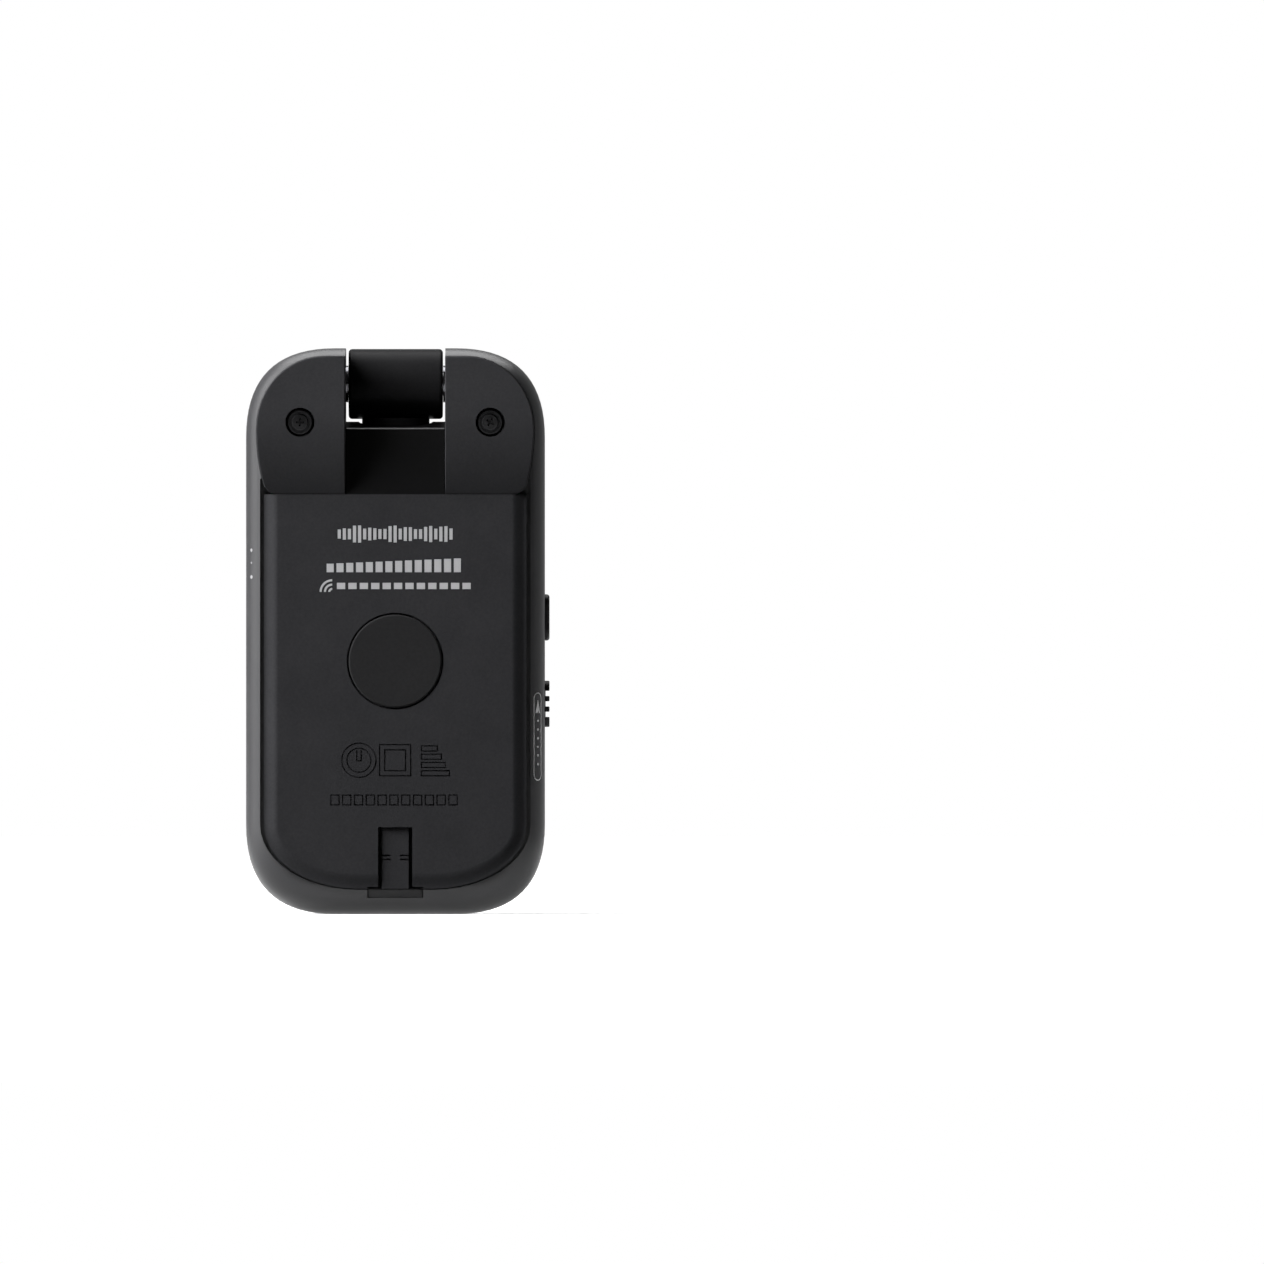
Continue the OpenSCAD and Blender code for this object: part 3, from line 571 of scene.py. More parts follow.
def stadium(length, width, y, z):
    """Outline on the YZ plane, long in Z, with round ends."""
    a, b = width / 2, length / 2
    return [(y - a, z - b, a, a), (y + a, z - b, a, a), (y + a, z + b, a, a), (y - a, z + b, a, a)]


# %% [markdown]
# ## The case
#
# The case is one moulding: a tub with a front face, side walls and two hinge ears. It is drawn as a thick
# plate whose back and front edges are rounded with the bevel tool, then hollowed and cut with blocks, rods
# and outlines.


# %% The case and its cavity
def plug_groove(extra=0):
    """Solids that together fill the channel of the folded plug, wider round the collar."""
    top, front = case_top + 1, front_y + 1
    tools = []
    for r, low in ((channel_r + extra, channel_z - extra), (collar_channel_r + extra, collar_low_z - extra)):
        tools.append(rod("Z", r, (0, hinge_y, low), (0, hinge_y, top)))
        tools.append(block((-r, hinge_y, low), (r, front, top)))
    return tools


def finger_scoop(extra=0):
    z = tip_low.z + 5.5
    return rod("Y", 8 + extra, (0, front_y - 3 - extra, z), (0, front_y + 1, z), side=128)


def case_cavity():
    """The clear space inside the case: all of it, less the walls and posts that stand in it."""
    side_wall, front_wall = 1.5, 1.6
    cavity = prism(case_corners(side_wall), ledge_y + 0.8, front_y - front_wall, fullness=case_fullness)
    cut(cavity, *plug_groove(wall), finger_scoop(wall))
    cut(cavity, block((-ear_x, notch_foot_y, notch_z - 1.6), (ear_x, front_y, notch_z + 1)))
    for side in (-1, 1):
        inner, outer = sorted((side * notch_half, side * ear_x))
        cut(cavity, block((inner, ledge_y - 1, notch_z - 2.5), (outer, front_y, case_top)))
        x = side * screw_x
        cut(cavity, rod("Y", screw_post_r, (x, ledge_y - 1, screw_z), (x, front_y, screw_z)))
        for x, z in board_post_places:
            cut(cavity, rod("Y", board_post_r, (side * x, -3.7, z), (side * x, front_y, z)))
    return cavity


def case_way_in():
    """The opening that the back cover closes. It reaches just into the cavity."""
    return prism(panel_corners(1, shoulder_z + 6), ledge_y - 1, ledge_y + 0.81)


def hinge_notch():
    """The notch for the knuckle, whose floor falls away to the back."""
    edge_y = hinge_y - 0.5
    profile = [(edge_y, notch_z, 0, 0), (notch_foot_y, recess_z, 0, 0), (behind_y, recess_z, 0, 0),
               (behind_y, case_top, 0, 0), (edge_y, case_top, 0, 0)]
    return [
        block((-notch_half, behind_y, notch_z), (notch_half, front_y + 1, case_top + 1)),
        prism(profile, -notch_half, notch_half, axis="X"),
    ]


def side_openings():
    """Openings for the button, the slide knob with its lever, and the charging socket with its rim."""
    right, left, deep = half_width + 1, -half_width - 1, half_width - 2.5
    slide_z = knob_z - 1
    return [
        prism(stadium(6.14, 2.84, side_y, button_z), deep, right, axis="X"),
        prism(stadium(8.3, 3.2, side_y, slide_z), half_width - 0.6, right, axis="X"),
        block((deep, side_y - 0.7, knob_z - 3.3), (half_width, side_y + 0.7, knob_z + 1.3)),
        prism(stadium(9.4, 3.6, side_y, socket_z), left, -deep, axis="X"),
        prism(stadium(10.4, 4.6, side_y, socket_z), left, -half_width + 0.35, axis="X"),
    ]


def groove_corners():
    """The opening round the panel: a dark groove at its sides, which closes at the bottom."""
    gap, overlap = 0.34, 0.03
    x, top, low = panel_high.x + gap, shoulder_z + 2, panel_low.z + overlap
    rx, rz = panel_corner_x + gap, panel_corner_z
    return [(x, top, 0, 0), (x, low, rz, rx), (-x, low, rx, rz), (-x, top, 0, 0)]


def ramp_room():
    """Room in the case for the shoulder's ramp, which dips into its wall between the ears."""
    deep, top = wall + 0.05, recess_z + 0.1
    profile = [(behind_y, shoulder_z, 0, 0), (panel_y + deep, shoulder_z, 0, 0),
               (ramp_top_y + deep, recess_z, 0, 0), (ramp_top_y + deep, top, 0, 0), (behind_y, top, 0, 0)]
    return prism(profile, -notch_half - 0.1, notch_half + 0.1, axis="X")


def paint_notch_shade(piece):
    """Gives the notch's floor, which is every face between the ears but their sides, the near-black recess
    material: painted shade.
    """
    piece.data.materials.append(satin_case)
    piece.data.materials.append(recess_painted_shade)
    for face in piece.data.polygons:
        middle = face.center
        if abs(middle.x) < notch_half + 0.05 and middle.z > shoulder_z and middle.y < hinge_y + 1:
            if abs(face.normal.x) < 0.9 and middle.z < notch_z + 0.05:
                face.material_index = 1


def foot_lines():
    """Narrow deep lines at the top edge and the ends of the slot's foot."""
    line_y, (low, top) = ledge_y - 0.1, slot_foot_z
    lines = []
    for side in (-1, 1):
        inner, outer = sorted((side * slot_tongue_half, side * slot_foot_half))
        lines.append(block((inner, panel_y - 1, top - 0.34), (outer, line_y, top)))
        inner, outer = sorted((side * (slot_foot_half - 0.16), side * slot_foot_half))
        lines.append(block((inner, panel_y - 1, low), (outer, line_y, top - 0.1)))
    return lines


def make_case():
    back = back_edge_y - back_edge_r
    case = prism(case_corners(), back, front_y, fullness=case_fullness, steps=18)
    round_rim(case, lambda p: near(p.y, back), back_edge_r, 12)
    round_rim(case, lambda p: near(p.y, front_y), front_edge_r, 7)
    cut(case, prism(groove_corners(), back - 1, ledge_y))
    cut(case, prism(shoulder_corners(-0.1), back - 1, ledge_y))
    cut(case, case_cavity(), case_way_in())
    cut(case, *hinge_notch(), ramp_room(), *plug_groove(), finger_scoop())
    cut(case, rod("X", bush_r + 0.02, (-ear_x - 1, hinge_y, hinge_z), (ear_x + 1, hinge_y, hinge_z)))
    for side in (-1, 1):
        x = side * screw_x
        cut(case, rod("Y", screw_pilot_r, (x, back, screw_z), (x, 2.5, screw_z), side=32))
        for x, z in board_post_places:
            cut(case, rod("Y", board_pilot_r, (side * x, -5, z), (side * x, 0.3, z), side=24))
    low, high = slot_foot_z
    cut(case, block((-slot_foot_half, back - 1, low), (slot_foot_half, slot_foot_y, high)))
    cut(case, *foot_lines())
    cut(case, *side_openings())
    for x in lamp_x:
        cut(case, rod("Y", 0.85, (x, front_y - 2.6, lamp_z), (x, front_y + 1, lamp_z), side=32))
    return case


case = make_case()
# The notch's floor is painted near black, as painted shade.
paint_notch_shade(case)
finish_piece(case, "case_shell", "housing", "case_plastic", "front_shell")

# %% [markdown]
# ## The back panel
#
# The panel is a plate with a gentle S-shaped edge: it rolls down from its face and levels out again into a
# narrow foot beside the groove. Each small step of the inset tool moves the top face in and up. The top
# end runs on under the shoulder, so it is made long and then sliced off with bisect.


# %% The back panel
edge_reach, edge_rise, edge_inset = 1.8, 0.58, 0.18
foot_y = panel_y + edge_rise


def inset_edge(piece, steps=12):
    """Shapes the plate's edge towards -Y: its face at the foot goes in and up along an S."""
    edit(piece)
    pick(piece, "faces", lambda f: near(f.calc_center_median().y, foot_y) and f.normal.y < -0.9)
    for i in range(steps):
        rise = edge_rise * (math.cos(math.pi * i / steps) - math.cos(math.pi * (i + 1) / steps)) / 2
        bpy.ops.mesh.inset(thickness=edge_reach / steps, depth=rise, use_even_offset=True)
    leave()


def mark(x0, x1, z0, z1, proud=0.02, deep=0.05):
    """A flat rectangle that stands proud of the panel's face and reaches deep into it."""
    return block((x0, panel_y - proud, z0), (x1, panel_y + deep, z1))


def ring_mark(x, z, outer, inner, proud=0.02, deep=0.05):
    """A flat ring in the panel's face."""
    ring = rod("Y", outer, (x, panel_y - proud, z), (x, panel_y + deep, z), side=64)
    cut(ring, rod("Y", inner, (x, panel_y - 1, z), (x, panel_y + 1, z), side=64))
    return ring


def quarter_mark(x, z, outer, inner):
    """The upper left quarter of a ring."""
    ring = ring_mark(x, z, outer, inner)
    cut(ring, block((x - 9, panel_y - 1, z - 9), (x + 9, panel_y + 1, z)))
    cut(ring, block((x, panel_y - 1, z - 1), (x + 9, panel_y + 1, z + 9)))
    return ring


def frame_mark(x0, x1, z0, z1, line, proud, deep):
    """A rectangular frame."""
    outer = mark(x0, x1, z0, z1, proud, deep)
    cut(outer, mark(x0 + line, x1 - line, z0 + line, z1 - line, 1, 1))
    return outer


def moulded_shapes(g, proud, deep):
    """The shapes below the pad, each grown by g: a dial, a frame, a stack of bars and a row of dashes."""
    dial_x, dial_z = -4.6, 19.6
    shapes = [ring_mark(dial_x, dial_z, 2.1 + g, 1.6 - g, proud, deep),
              mark(dial_x - 0.2 - g, dial_x + 0.2 + g, dial_z - g, 20.9, proud, deep),
              frame_mark(-1.9 - g, 1.9 + g, 17.7 - g, 21.5 + g, 0.5 + 2 * g, proud, deep)]
    for i in range(4):
        z = 17.7 + 1.05 * i
        shapes.append(mark(3.4 - g, 6.8 - 0.5 * i + g, z - g, z + 0.5 + g, proud, deep))
    for i in range(11):
        x = -8.1 + 1.5 * i
        shapes.append(mark(x - g, x + 0.9 + g, 14.0 - g, 15.1 + g, proud, deep))
    return shapes


def slice_off(piece, place, normal):
    """Cuts away what lies beyond a plane and closes the cut."""
    edit(piece)
    bpy.ops.mesh.select_all(action="SELECT")
    bpy.ops.mesh.bisect(plane_co=place, plane_no=normal, clear_outer=True, use_fill=True)
    leave()


def soften_bottom(piece):
    """Makes the edge a little longer and shallower where it faces down."""
    longer, deeper, rx, rz = 0.2, -0.22, panel_corner_x, panel_corner_z
    for vertex in piece.data.vertices:
        height = (foot_y - vertex.co.y) / edge_rise
        if height < -0.01:
            continue
        along = math.acos(max(-1, min(1, 1 - 2 * height))) / math.pi
        across = max(0, abs(vertex.co.x) - panel_high.x + rx) / rx**2
        down = max(0, panel_low.z + rz - vertex.co.z) / rz**2
        share = down / max(1e-6, math.hypot(across, down))
        share = min(1, max(0, (share - 0.35) / 0.55))
        share = share * share * (3 - 2 * share)
        vertex.co.z += share * longer * along
        vertex.co.y += share * deeper * (1 - height)


def docking_slot():
    """The T-shaped slot: a channel on each side of a tongue, two pairs of ribs and a wide foot."""
    tongue, rib_y, rib_half = slot_tongue_half, panel_y + 0.9, 0.1
    channel = block((-slot_half, panel_y - 1, 0), (slot_half, panel_y + slot_depth, slot_top_z))
    cut(channel, block((-tongue, panel_y + 0.5, 0), (tongue, ledge_y, slot_top_z + 1)))
    foot = block((-slot_foot_half, panel_y - 1, 0), (slot_foot_half, slot_foot_y, slot_foot_z[1]))
    cut(foot, block((-tongue, panel_y + 0.5, 0), (tongue, ledge_y, slot_top_z)))
    ribs = [block((low, panel_y, z - rib_half), (high, rib_y, z + rib_half))
            for low, high in ((-tongue, -0.6), (0.6, tongue)) for z in (7.0, 7.5)]
    return [channel, foot, *foot_lines(), *ribs]


def make_panel():
    panel = prism(panel_corners(edge_inset, shoulder_z + 9), ledge_y, foot_y, steps=16)
    inset_edge(panel)
    soften_bottom(panel)
    slice_off(panel, (0, 0, shoulder_z), (0, 0, 1))
    cut(panel, prism(panel_corners(1.6, shoulder_z - 1), panel_y + 1.4, ledge_y + 1))
    slot_wall = slot_half + 1
    add(panel, block((-slot_wall, panel_y + 0.5, panel_low.z + 1), (slot_wall, ledge_y, slot_top_z + 0.9)))
    cut(panel, rod("Y", pad_r + 0.25, (0, panel_y - 1, pad_z), (0, panel_y + recess_depth, pad_z), side=128))
    cut(panel, *docking_slot())
    cut(panel, *moulded_shapes(0.15, 0.5, 0.22))
    return panel


panel = make_panel()
finish_piece(panel, "back_panel", "housing", "panel_plastic", "back_cover")

# %% [markdown]
# ## The shoulder
#
# The shoulder stands above the panel round the hinge. Its top is flat as far as the screws and then
# rolls down to the panel. The roll is made by slicing the plate into rows with bisect and moving each
# row down along an arc. Its rim is a crisp edge with a small radius, as an ejected moulding has.


# %% The shoulder
roll_z = case_top - 7.9
roll_rows = 12


def roll_down(piece):
    """Bends the plate's face below roll_z down to the panel."""
    run, drop = roll_z - shoulder_z, panel_y - shoulder_y
    radius = (run * run + drop * drop) / (2 * drop)
    edit(piece)
    for i in range(roll_rows):
        z = roll_z - radius * math.sin(math.asin(run / radius) * i / roll_rows)
        bpy.ops.mesh.select_all(action="SELECT")
        bpy.ops.mesh.bisect(plane_co=(0, 0, z), plane_no=(0, 0, 1))
    bpy.ops.mesh.select_all(action="DESELECT")
    leave()
    for vertex in piece.data.vertices:
        if near(vertex.co.y, shoulder_y) and vertex.co.z < roll_z:
            vertex.co.y += radius - math.sqrt(radius**2 - (roll_z - vertex.co.z) ** 2)


def ramp_profile(lift):
    return [(panel_y, shoulder_z, 0, 0), (ramp_top_y, recess_z, 0, 0), (ramp_top_y + lift, recess_z, 0, 0),
            (panel_y + lift, shoulder_z, 0, 0)]


def ramp_piece():
    """The ramp: its top edge is rounded, and a thin groove runs down each side."""
    ramp = prism(ramp_profile(wall), -notch_half - 0.1, notch_half + 0.1, axis="X")
    round_rim(ramp, lambda p: near(p.y, ramp_top_y) and near(p.z, recess_z), 0.24, 4)
    for side in (-1, 1):
        near_x, far_x = sorted((side * (notch_half - 0.13), side * (notch_half + 0.11)))
        groove = prism([(y + (0.4 if i in (0, 1) else -3), z, 0, 0) for i, (y, z, _, _) in
                        enumerate(ramp_profile(0))], near_x, far_x, axis="X")
        cut(ramp, groove)
    return ramp


def paint_recess_shade(piece):
    """Gives the ramp the near-black recess material, which is painted shade, and its rounded top edge the sheen
    of the case.
    """
    for material in (spark_shoulder, recess_painted_shade, satin_case):
        piece.data.materials.append(material)
    for face in piece.data.polygons:
        middle, normal = face.center, face.normal
        inside = abs(middle.x) < notch_half + 0.02 and shoulder_z - 0.1 < middle.z < recess_z + 0.1
        if inside and abs(normal.x) < 0.9 and normal.z < 0.99 and middle.y > panel_y - 0.1:
            face.material_index = 1 if normal.z < 0.5 else 2


def on_rim(edge):
    """True for an edge between the plate's top and its side walls."""
    if len(edge.link_faces) != 2:
        return False
    tops = [f.normal.y < -0.7 for f in edge.link_faces]
    return tops.count(True) == 1 and all(v.co.y < panel_y + 0.1 for v in edge.verts)


def make_shoulder():
    lobe_wall = 1.3
    lobe_in_x = notch_half + lobe_wall
    lobe_out_x = shoulder_high.x - lobe_wall
    tab_y = ledge_y - 1.4
    plate = prism(shoulder_corners(), ledge_y, shoulder_y, steps=16)
    roll_down(plate)
    cut(plate, block((-notch_half, shoulder_y - 1, 0), (notch_half, ledge_y + 1, case_top)))
    hollow = prism(shoulder_corners(lobe_wall), panel_y + 0.3, ledge_y + 1)
    cut(hollow, block((-lobe_in_x, panel_y - 1, 0), (lobe_in_x, ledge_y + 2, case_top)))
    cut(plate, hollow)
    round_edges(plate, on_rim, 0.14)
    add(plate, ramp_piece())
    for side in (-1, 1):
        x = side * screw_x
        add(plate, rod("Y", counterbore_r + 0.9, (x, screw_y + 0.6, screw_z), (x, tab_y, screw_z), side=48))
        low, high = sorted((side * lobe_in_x, side * lobe_out_x))
        cut(plate, block((low, tab_y, 0), (high, ledge_y + 1, shoulder_z + 3.2)))
        cut(plate, rod("Y", counterbore_r, (x, shoulder_y - 1, screw_z), (x, screw_y + 1.2, screw_z), side=64))
        cut(plate, rod("Y", 1.15, (x, shoulder_y, screw_z), (x, ledge_y, screw_z), side=32))
    return plate


shoulder = make_shoulder()
# The ramp's faces take the near-black recess material: painted shade.
paint_recess_shade(shoulder)
finish_piece(shoulder, "shoulder_plate", "housing", "panel_plastic", "shoulder_cover")

# %% [markdown]
# ## Screws
#
# The shoulder screws are button heads with a ring turned into them and a cross-shaped recess. One is turned
# and cut, and the other is a copy that stops at another angle, as screws do.


# %% Screws
def make_screw():
    """One screw along Y, its head at the origin: a rim, a turned ring, a domed middle and the cross."""
    rim, ring, middle, groove = 1.58, 1.32, 1.06, 0.35
    head = turned("Y", (0, 0, 0), [(-5, 0.98), (-1.25, 0.98), (-1.2, rim), (-0.3, rim)]
                  + rounded(-0.12, rim, 0.12, 3) + [(-0.12, ring), (-groove, ring), (-groove, middle)]
                  + rounded(0, middle, 0.14, 4) + [(0.02, 0.3)])
    for quarter in (0, 1):
        arm = block((-0.78, -0.6, -0.16), (0.78, 0.42, 0.16))
        edit(arm)
        pick(arm, "faces", lambda f: f.normal.y > 0.9)
        bpy.ops.transform.resize(value=(0.45, 1, 0.6))
        leave()
        arm.rotation_euler = (0, math.pi / 2 * quarter, 0)
        only(arm)
        bpy.ops.object.transform_apply(location=True, rotation=True, scale=True)
        cut(head, arm)
    return head


def place_screw(screw, side, turn):
    screw.rotation_euler = (0, math.radians(turn), 0)
    screw.location = (side * screw_x, screw_y, screw_z)
    only(screw)
    bpy.ops.object.transform_apply(location=True, rotation=True, scale=True)


left_screw = make_screw()
only(left_screw)
bpy.ops.object.duplicate()
right_screw = bpy.context.object
place_screw(left_screw, -1, 4)
place_screw(right_screw, 1, 32)
finish_piece(left_screw, "shoulder_screw_left", "housing", "black_screw_steel")
finish_piece(right_screw, "shoulder_screw_right", "housing", "black_screw_steel")
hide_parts("shoulder_screws")
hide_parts("shoulder_screws")

# %% [markdown]
# ## The pad
#
# The pad is cast, so its rim has a small even radius, and its face dips very slightly in the middle, where
# the silicone shrank.

# %% Pad
pad_bottom, pad_face = pad_high.y, pad_low.y
pad = turned("Y", (0, pad_bottom, pad_z), [(0, pad_r)] + rounded(pad_bottom - pad_face, pad_r, 0.22, 5)
             + [(pad_bottom - pad_face - 0.01, pad_r * 0.8), (pad_bottom - pad_face - 0.04, pad_r * 0.4),
                (pad_bottom - pad_face - 0.05, 0.1)], side=128)
finish_piece(pad, "silicone_pad", "housing", "pad_rubber", "back_pad")

# %% [markdown]
# ## Button and slide knob
#
# Both are small acetal mouldings with a stadium outline. The button is plain with a rounded outer rim, and
# a flange inside the case keeps it in. The knob has four teeth for the fingernail: the outline is cut
# by three slots, and then every outer edge is rounded a little.


# %% Button
cap_width = 2.6


def make_button():
    inner, outer, length = button_low.x, button_high.x, button_high.z - button_low.z
    button = prism(stadium(length - 1.2, cap_width, side_y, button_z), inner, outer, axis="X")
    round_rim(button, lambda p: near(p.x, outer), 0.36, 5)
    add(button, prism(stadium(length, cap_width + 1, side_y, button_z), inner, inner + 0.5, axis="X"))
    return button


button = make_button()
finish_piece(button, "power_button", "button_body", "knob_plastic", "button_cap")


# %% Knob
def make_knob():
    base, outer = half_width - 0.55, knob_high.x
    length, depth, pitch, slot = knob_high.z - knob_low.z, 0.5, 1.33, 0.33
    knob = prism(stadium(length, cap_width, side_y, knob_z), base, outer, axis="X")
    for k in (-1, 0, 1):
        z = knob_z + k * pitch
        cut(knob, block((outer - depth, side_y - 3, z - slot), (outer + 1, side_y + 3, z + slot)))
    round_rim(knob, lambda p: near(p.x, outer), 0.12, 3)
    add(knob, block((knob_low.x, side_y - 0.6, knob_z - 1.2), (base + 0.1, side_y + 0.6, knob_z + 1.2)))
    return knob


knob = make_knob()
finish_piece(knob, "mute_knob", "knob_body", "knob_plastic", "slide_knob")

# %% [markdown]
# ## Pad printing
#
# Printed ink is a film a few hundredths of a millimetre thick. Here it is thin solids that stand proud of
# the panel by that much: a wave of bars, a level meter of blocks, and three arcs before a row of dashes.
# None of them spells anything. The marks on the sides are drawn flat and then wrapped round the case's edge.


# %% Printed marks
def plate_marks(shapes, name, material):
    """Joins flat shapes that stand on the panel into one piece."""
    only(shapes[0])
    for shape in shapes[1:]:
        shape.select_set(True)
    bpy.ops.object.join()
    marks = bpy.context.object
    marks.data.materials.clear()
    marks.data.materials.append(material)
    finish_piece(marks, name, "housing", "panel_plastic")


def wave_of_bars(count=23, z=48.35, half=7.1):
    """Upright bars like a sound wave: their heights swell and fade by two sines."""
    bars = []
    for i in range(count):
        x = -half + 2 * half * i / (count - 1)
        reach = 1.15 * (0.5 + 0.5 * abs(math.sin(0.41 * i) * math.cos(0.9 * i)))
        bars.append(mark(x - 0.2, x + 0.2, z - reach, z + reach))
    return bars


def level_meter(count=14, low=43.5, high=45.3, half=8.7):
    """A row of blocks that grow taller to the right, like a level meter."""
    pitch, blocks = 2 * half / count, []
    for i in range(count):
        x, top = -half + pitch * i, low + (high - low) * (0.6 + 0.4 * i / count)
        blocks.append(mark(x, x + pitch * 0.72, low, top))
    return blocks


printed = wave_of_bars() + level_meter()
for r in (0.5, 1.05, 1.6):
    printed.append(quarter_mark(-8.0, 41.0, r, r - 0.26))
for i in range(12):
    printed.append(mark(-7.4 + 1.45 * i, -6.35 + 1.45 * i, 41.35, 42.15))
plate_marks(printed, "back_print", back_ink)

# %% Marks on the sides
ink_low, ink_high = back_edge_r - 0.1, back_edge_r + 0.015


def wrap_to_edge(piece, middle, side=1):
    """Bends a flat shape onto the case's rounded edge. Its X is a radius there, and its Y a length of arc."""
    for vertex in piece.data.vertices:
        r, arc = vertex.co.x, vertex.co.y
        angle = math.radians(middle) + arc / back_edge_r
        vertex.co.x = side * (half_width - back_edge_r + r * math.cos(angle))
        vertex.co.y = back_edge_y - r * math.sin(angle)
    edit(piece)
    bpy.ops.mesh.select_all(action="SELECT")
    bpy.ops.mesh.normals_make_consistent(inside=False)
    leave()


def capsule_outline(length, width, line, z):
    outer = prism(stadium(length, width, 0, z), ink_low, ink_high, axis="X")
    inner = stadium(length - 2 * line, width - 2 * line, 0, z)
    cut(outer, prism(inner, back_edge_r - 1, back_edge_r + 1, axis="X"))
    return outer


def small_triangle(low, high, half):
    """A triangle with its top corner rounded, which gives the outline its fourth knot."""
    return prism([(-half, low, 0, 0), (half, low, 0, 0), (0, high, 0.1, 0.1)], ink_low, ink_high, axis="X")


def dot_at(z, r):
    return rod("X", r, (ink_low, 0, z), (ink_high, 0, z), side=24)


slide_marks = [capsule_outline(11.2, 1.5, 0.12, 22.6), small_triangle(25.6, 27.3, 0.42)]
slide_marks += [dot_at(24.6 - 1.1 * i, 0.16) for i in range(6)]
for piece in slide_marks:
    wrap_to_edge(piece, 40)
socket_marks = [dot_at(z, r) for z, r in ((46.3, 0.22), (44.7, 0.13), (42.9, 0.24))]
for piece in socket_marks:
    wrap_to_edge(piece, 36, side=-1)
plate_marks(slide_marks, "side_print", side_ink_painted_lighter)
plate_marks(socket_marks, "socket_print", socket_ink_painted_darker)

# %% [markdown]
# ## Moulded marks
#
# Below the pad stand plain moulded figures, each in a narrow groove that was cut into the panel: a dial, a
# frame and a stack of bars, with a row of short dashes under them.

# %% Moulded marks
plate_marks(moulded_shapes(0, 0.03, 0.23), "moulded_marks", spark_panel)

# %% [markdown]
# ## Finishes for the CAD pieces
#
# Turned and stamped pieces, such as the plug, the bushes and everything on the board, already have
# their right shape in the CAD model. They stay as they are and only take their finish.

# %% Dress the CAD pieces
slot_of = {row["node"]: row["material_slot"] for row in frame["record"]["subparts"]}
for node, piece in frame["nodes"].items():
    for slot in piece.material_slots:
        slot.material = finishes[slot_of[node]]
print("dressed", len(slot_of), "CAD pieces")

# %% [markdown]
# ## Floor, light and camera
#
# The set is a plain white sweep. The floor glows whiter away from the object and dimmer near it, a painted
# shadow round its foot, so that it has no visible edge and still takes a real soft shadow. Close to the object
# it also glows in reflections only, a painted reflection of a bright floor along the case's lower edge. It is
# dark for diffuse light, so that it does not fill the shadows from below. What black plastic mirrors shows as
# much as what shines on it, so the two are set apart: softboxes on the left and right only shine, and cards on
# the left and above only show in reflections, the upper one as the bright line along the case's top edge.

# %% Floor and backdrop
def ray_kinds(material):
    """Two switches: 1 for rays from the camera or through something clear, and 1 for rays from a reflection."""
    rays = add_node(material, "ShaderNodeLightPath", {}).outputs
    return add_math(material, rays["Is Camera Ray"], rays["Is Transmission Ray"], "ADD"), rays["Is Glossy Ray"]


bpy.ops.object.select_all(action="DESELECT")
bpy.ops.mesh.primitive_circle_add(vertices=96, radius=1.5, fill_type="NGON")
floor = bpy.context.object
floor.name = "floor"
paint, floor_shader = start_material("pale_floor", "#d6d6d6", Roughness=0.9, Specular_IOR_Level=0.1)
spot = add_node(paint, "ShaderNodeTexCoord", {}).outputs["Object"]
far = add_node(paint, "ShaderNodeVectorMath", {0: spot}, operation="LENGTH").outputs["Value"]
seen, mirrored = ray_kinds(paint)
# Camera rays see the floor dimmer near the object: a painted shadow round its foot.
glow_white_with_painted_shadow = add_math(paint, add_ranged(paint, far, 0.03, 0.3, 0.55, 1.0), seen)
# Reflections see the floor glow near the object: a painted reflection on the case's lower edge.
painted_reflection_glow = add_math(paint, add_ranged(paint, far, 0.04, 0.15, 0.85, 0.15), mirrored)
pale = add_blend(paint, add_math(paint, seen, mirrored, "ADD"), "#202020", "#d6d6d6")
floor_shader.inputs["Emission Color"].default_value = (1, 1, 1, 1)
paint.node_tree.links.new(add_math(paint, glow_white_with_painted_shadow, painted_reflection_glow, "ADD"), floor_shader.inputs["Emission Strength"])
paint.node_tree.links.new(pale, floor_shader.inputs["Base Color"])
floor.data.materials.append(paint)

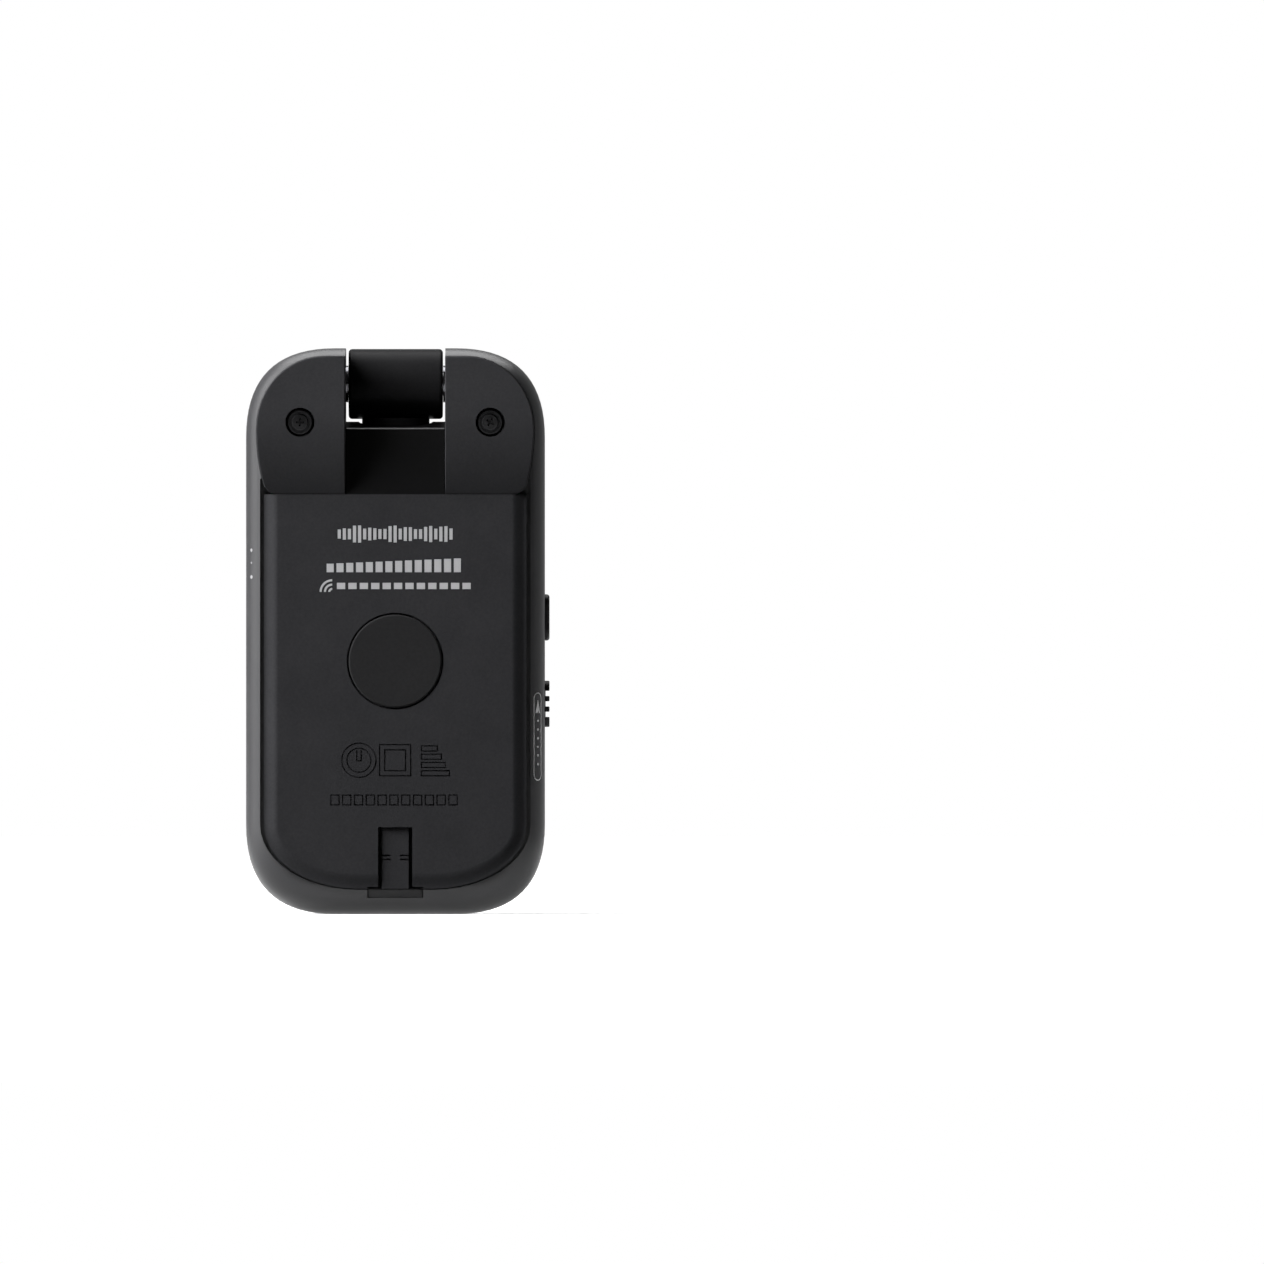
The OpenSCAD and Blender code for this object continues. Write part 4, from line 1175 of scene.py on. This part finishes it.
world = bpy.data.worlds.new("studio")
bpy.context.scene.world = world
world.use_nodes = True
air = world.node_tree.nodes["Background"]
air.inputs["Color"].default_value = (1, 1, 1, 1)
way = add_node(world, "ShaderNodeTexCoord", {}).outputs["Generated"]
behind = add_node(world, "ShaderNodeSeparateXYZ", {0: way}).outputs["Y"]
seen, mirrored = ray_kinds(world)
backdrop = add_math(world, add_ranged(world, behind, -0.15, 0.6, 0.03, 0.45), mirrored)
ambient = 0.025
level = add_math(world, add_math(world, backdrop, seen, "MAXIMUM"), ambient, "MAXIMUM")
world.node_tree.links.new(level, air.inputs["Strength"])


# %% Softboxes
def softbox(name, across, up, distance, width, height, brightness, mirrored):
    """A lamp that faces the object, from its angles in degrees: 0 is the camera's side, 90 the right.

    Brightness is how white its face is: 1 is paper white. It only shows in reflections or only shines.
    """
    a, b = math.radians(across), math.radians(up)
    middle = Vector((0, 0, case_top * MM / 2))
    towards = Vector((math.sin(a) * math.cos(b), -math.cos(a) * math.cos(b), math.sin(b)))
    lamp = bpy.data.objects.new(name, bpy.data.lights.new(name, "AREA"))
    bpy.context.scene.collection.objects.link(lamp)
    lamp.location = middle + distance * towards
    lamp.rotation_euler = (middle - lamp.location).to_track_quat("-Z", "Y").to_euler()
    lamp.data.shape = "RECTANGLE"
    lamp.data.size, lamp.data.size_y = width, height
    lamp.data.energy = 4 * width * height * brightness
    lamp.visible_glossy, lamp.visible_diffuse = mirrored, not mirrored


softbox("left_softbox", -74, 38, 0.6, 0.65, 0.5, 11.2, mirrored=False)
softbox("left_card", -74, 30, 0.5, 0.65, 0.7, 4.4, mirrored=True)
softbox("right_softbox", 108, 10, 0.5, 0.2, 0.5, 3.6, mirrored=False)
softbox("top_card", 180, 72, 0.5, 0.5, 0.34, 5.2, mirrored=True)

# %% Camera
far_away, frame_width, aim = 4.0, 0.161, (0.0301, 0.0359)
camera = bpy.data.objects.new("camera", bpy.data.cameras.new("camera"))
bpy.context.scene.collection.objects.link(camera)
bpy.context.scene.camera = camera
camera.location = (aim[0], -far_away, aim[1])
camera.rotation_euler = (math.pi / 2, 0, 0)
camera.data.sensor_width = 36
camera.data.lens = camera.data.sensor_width * far_away / frame_width
camera.data.clip_end = 20
bpy.context.scene.view_settings.view_transform = "Standard"
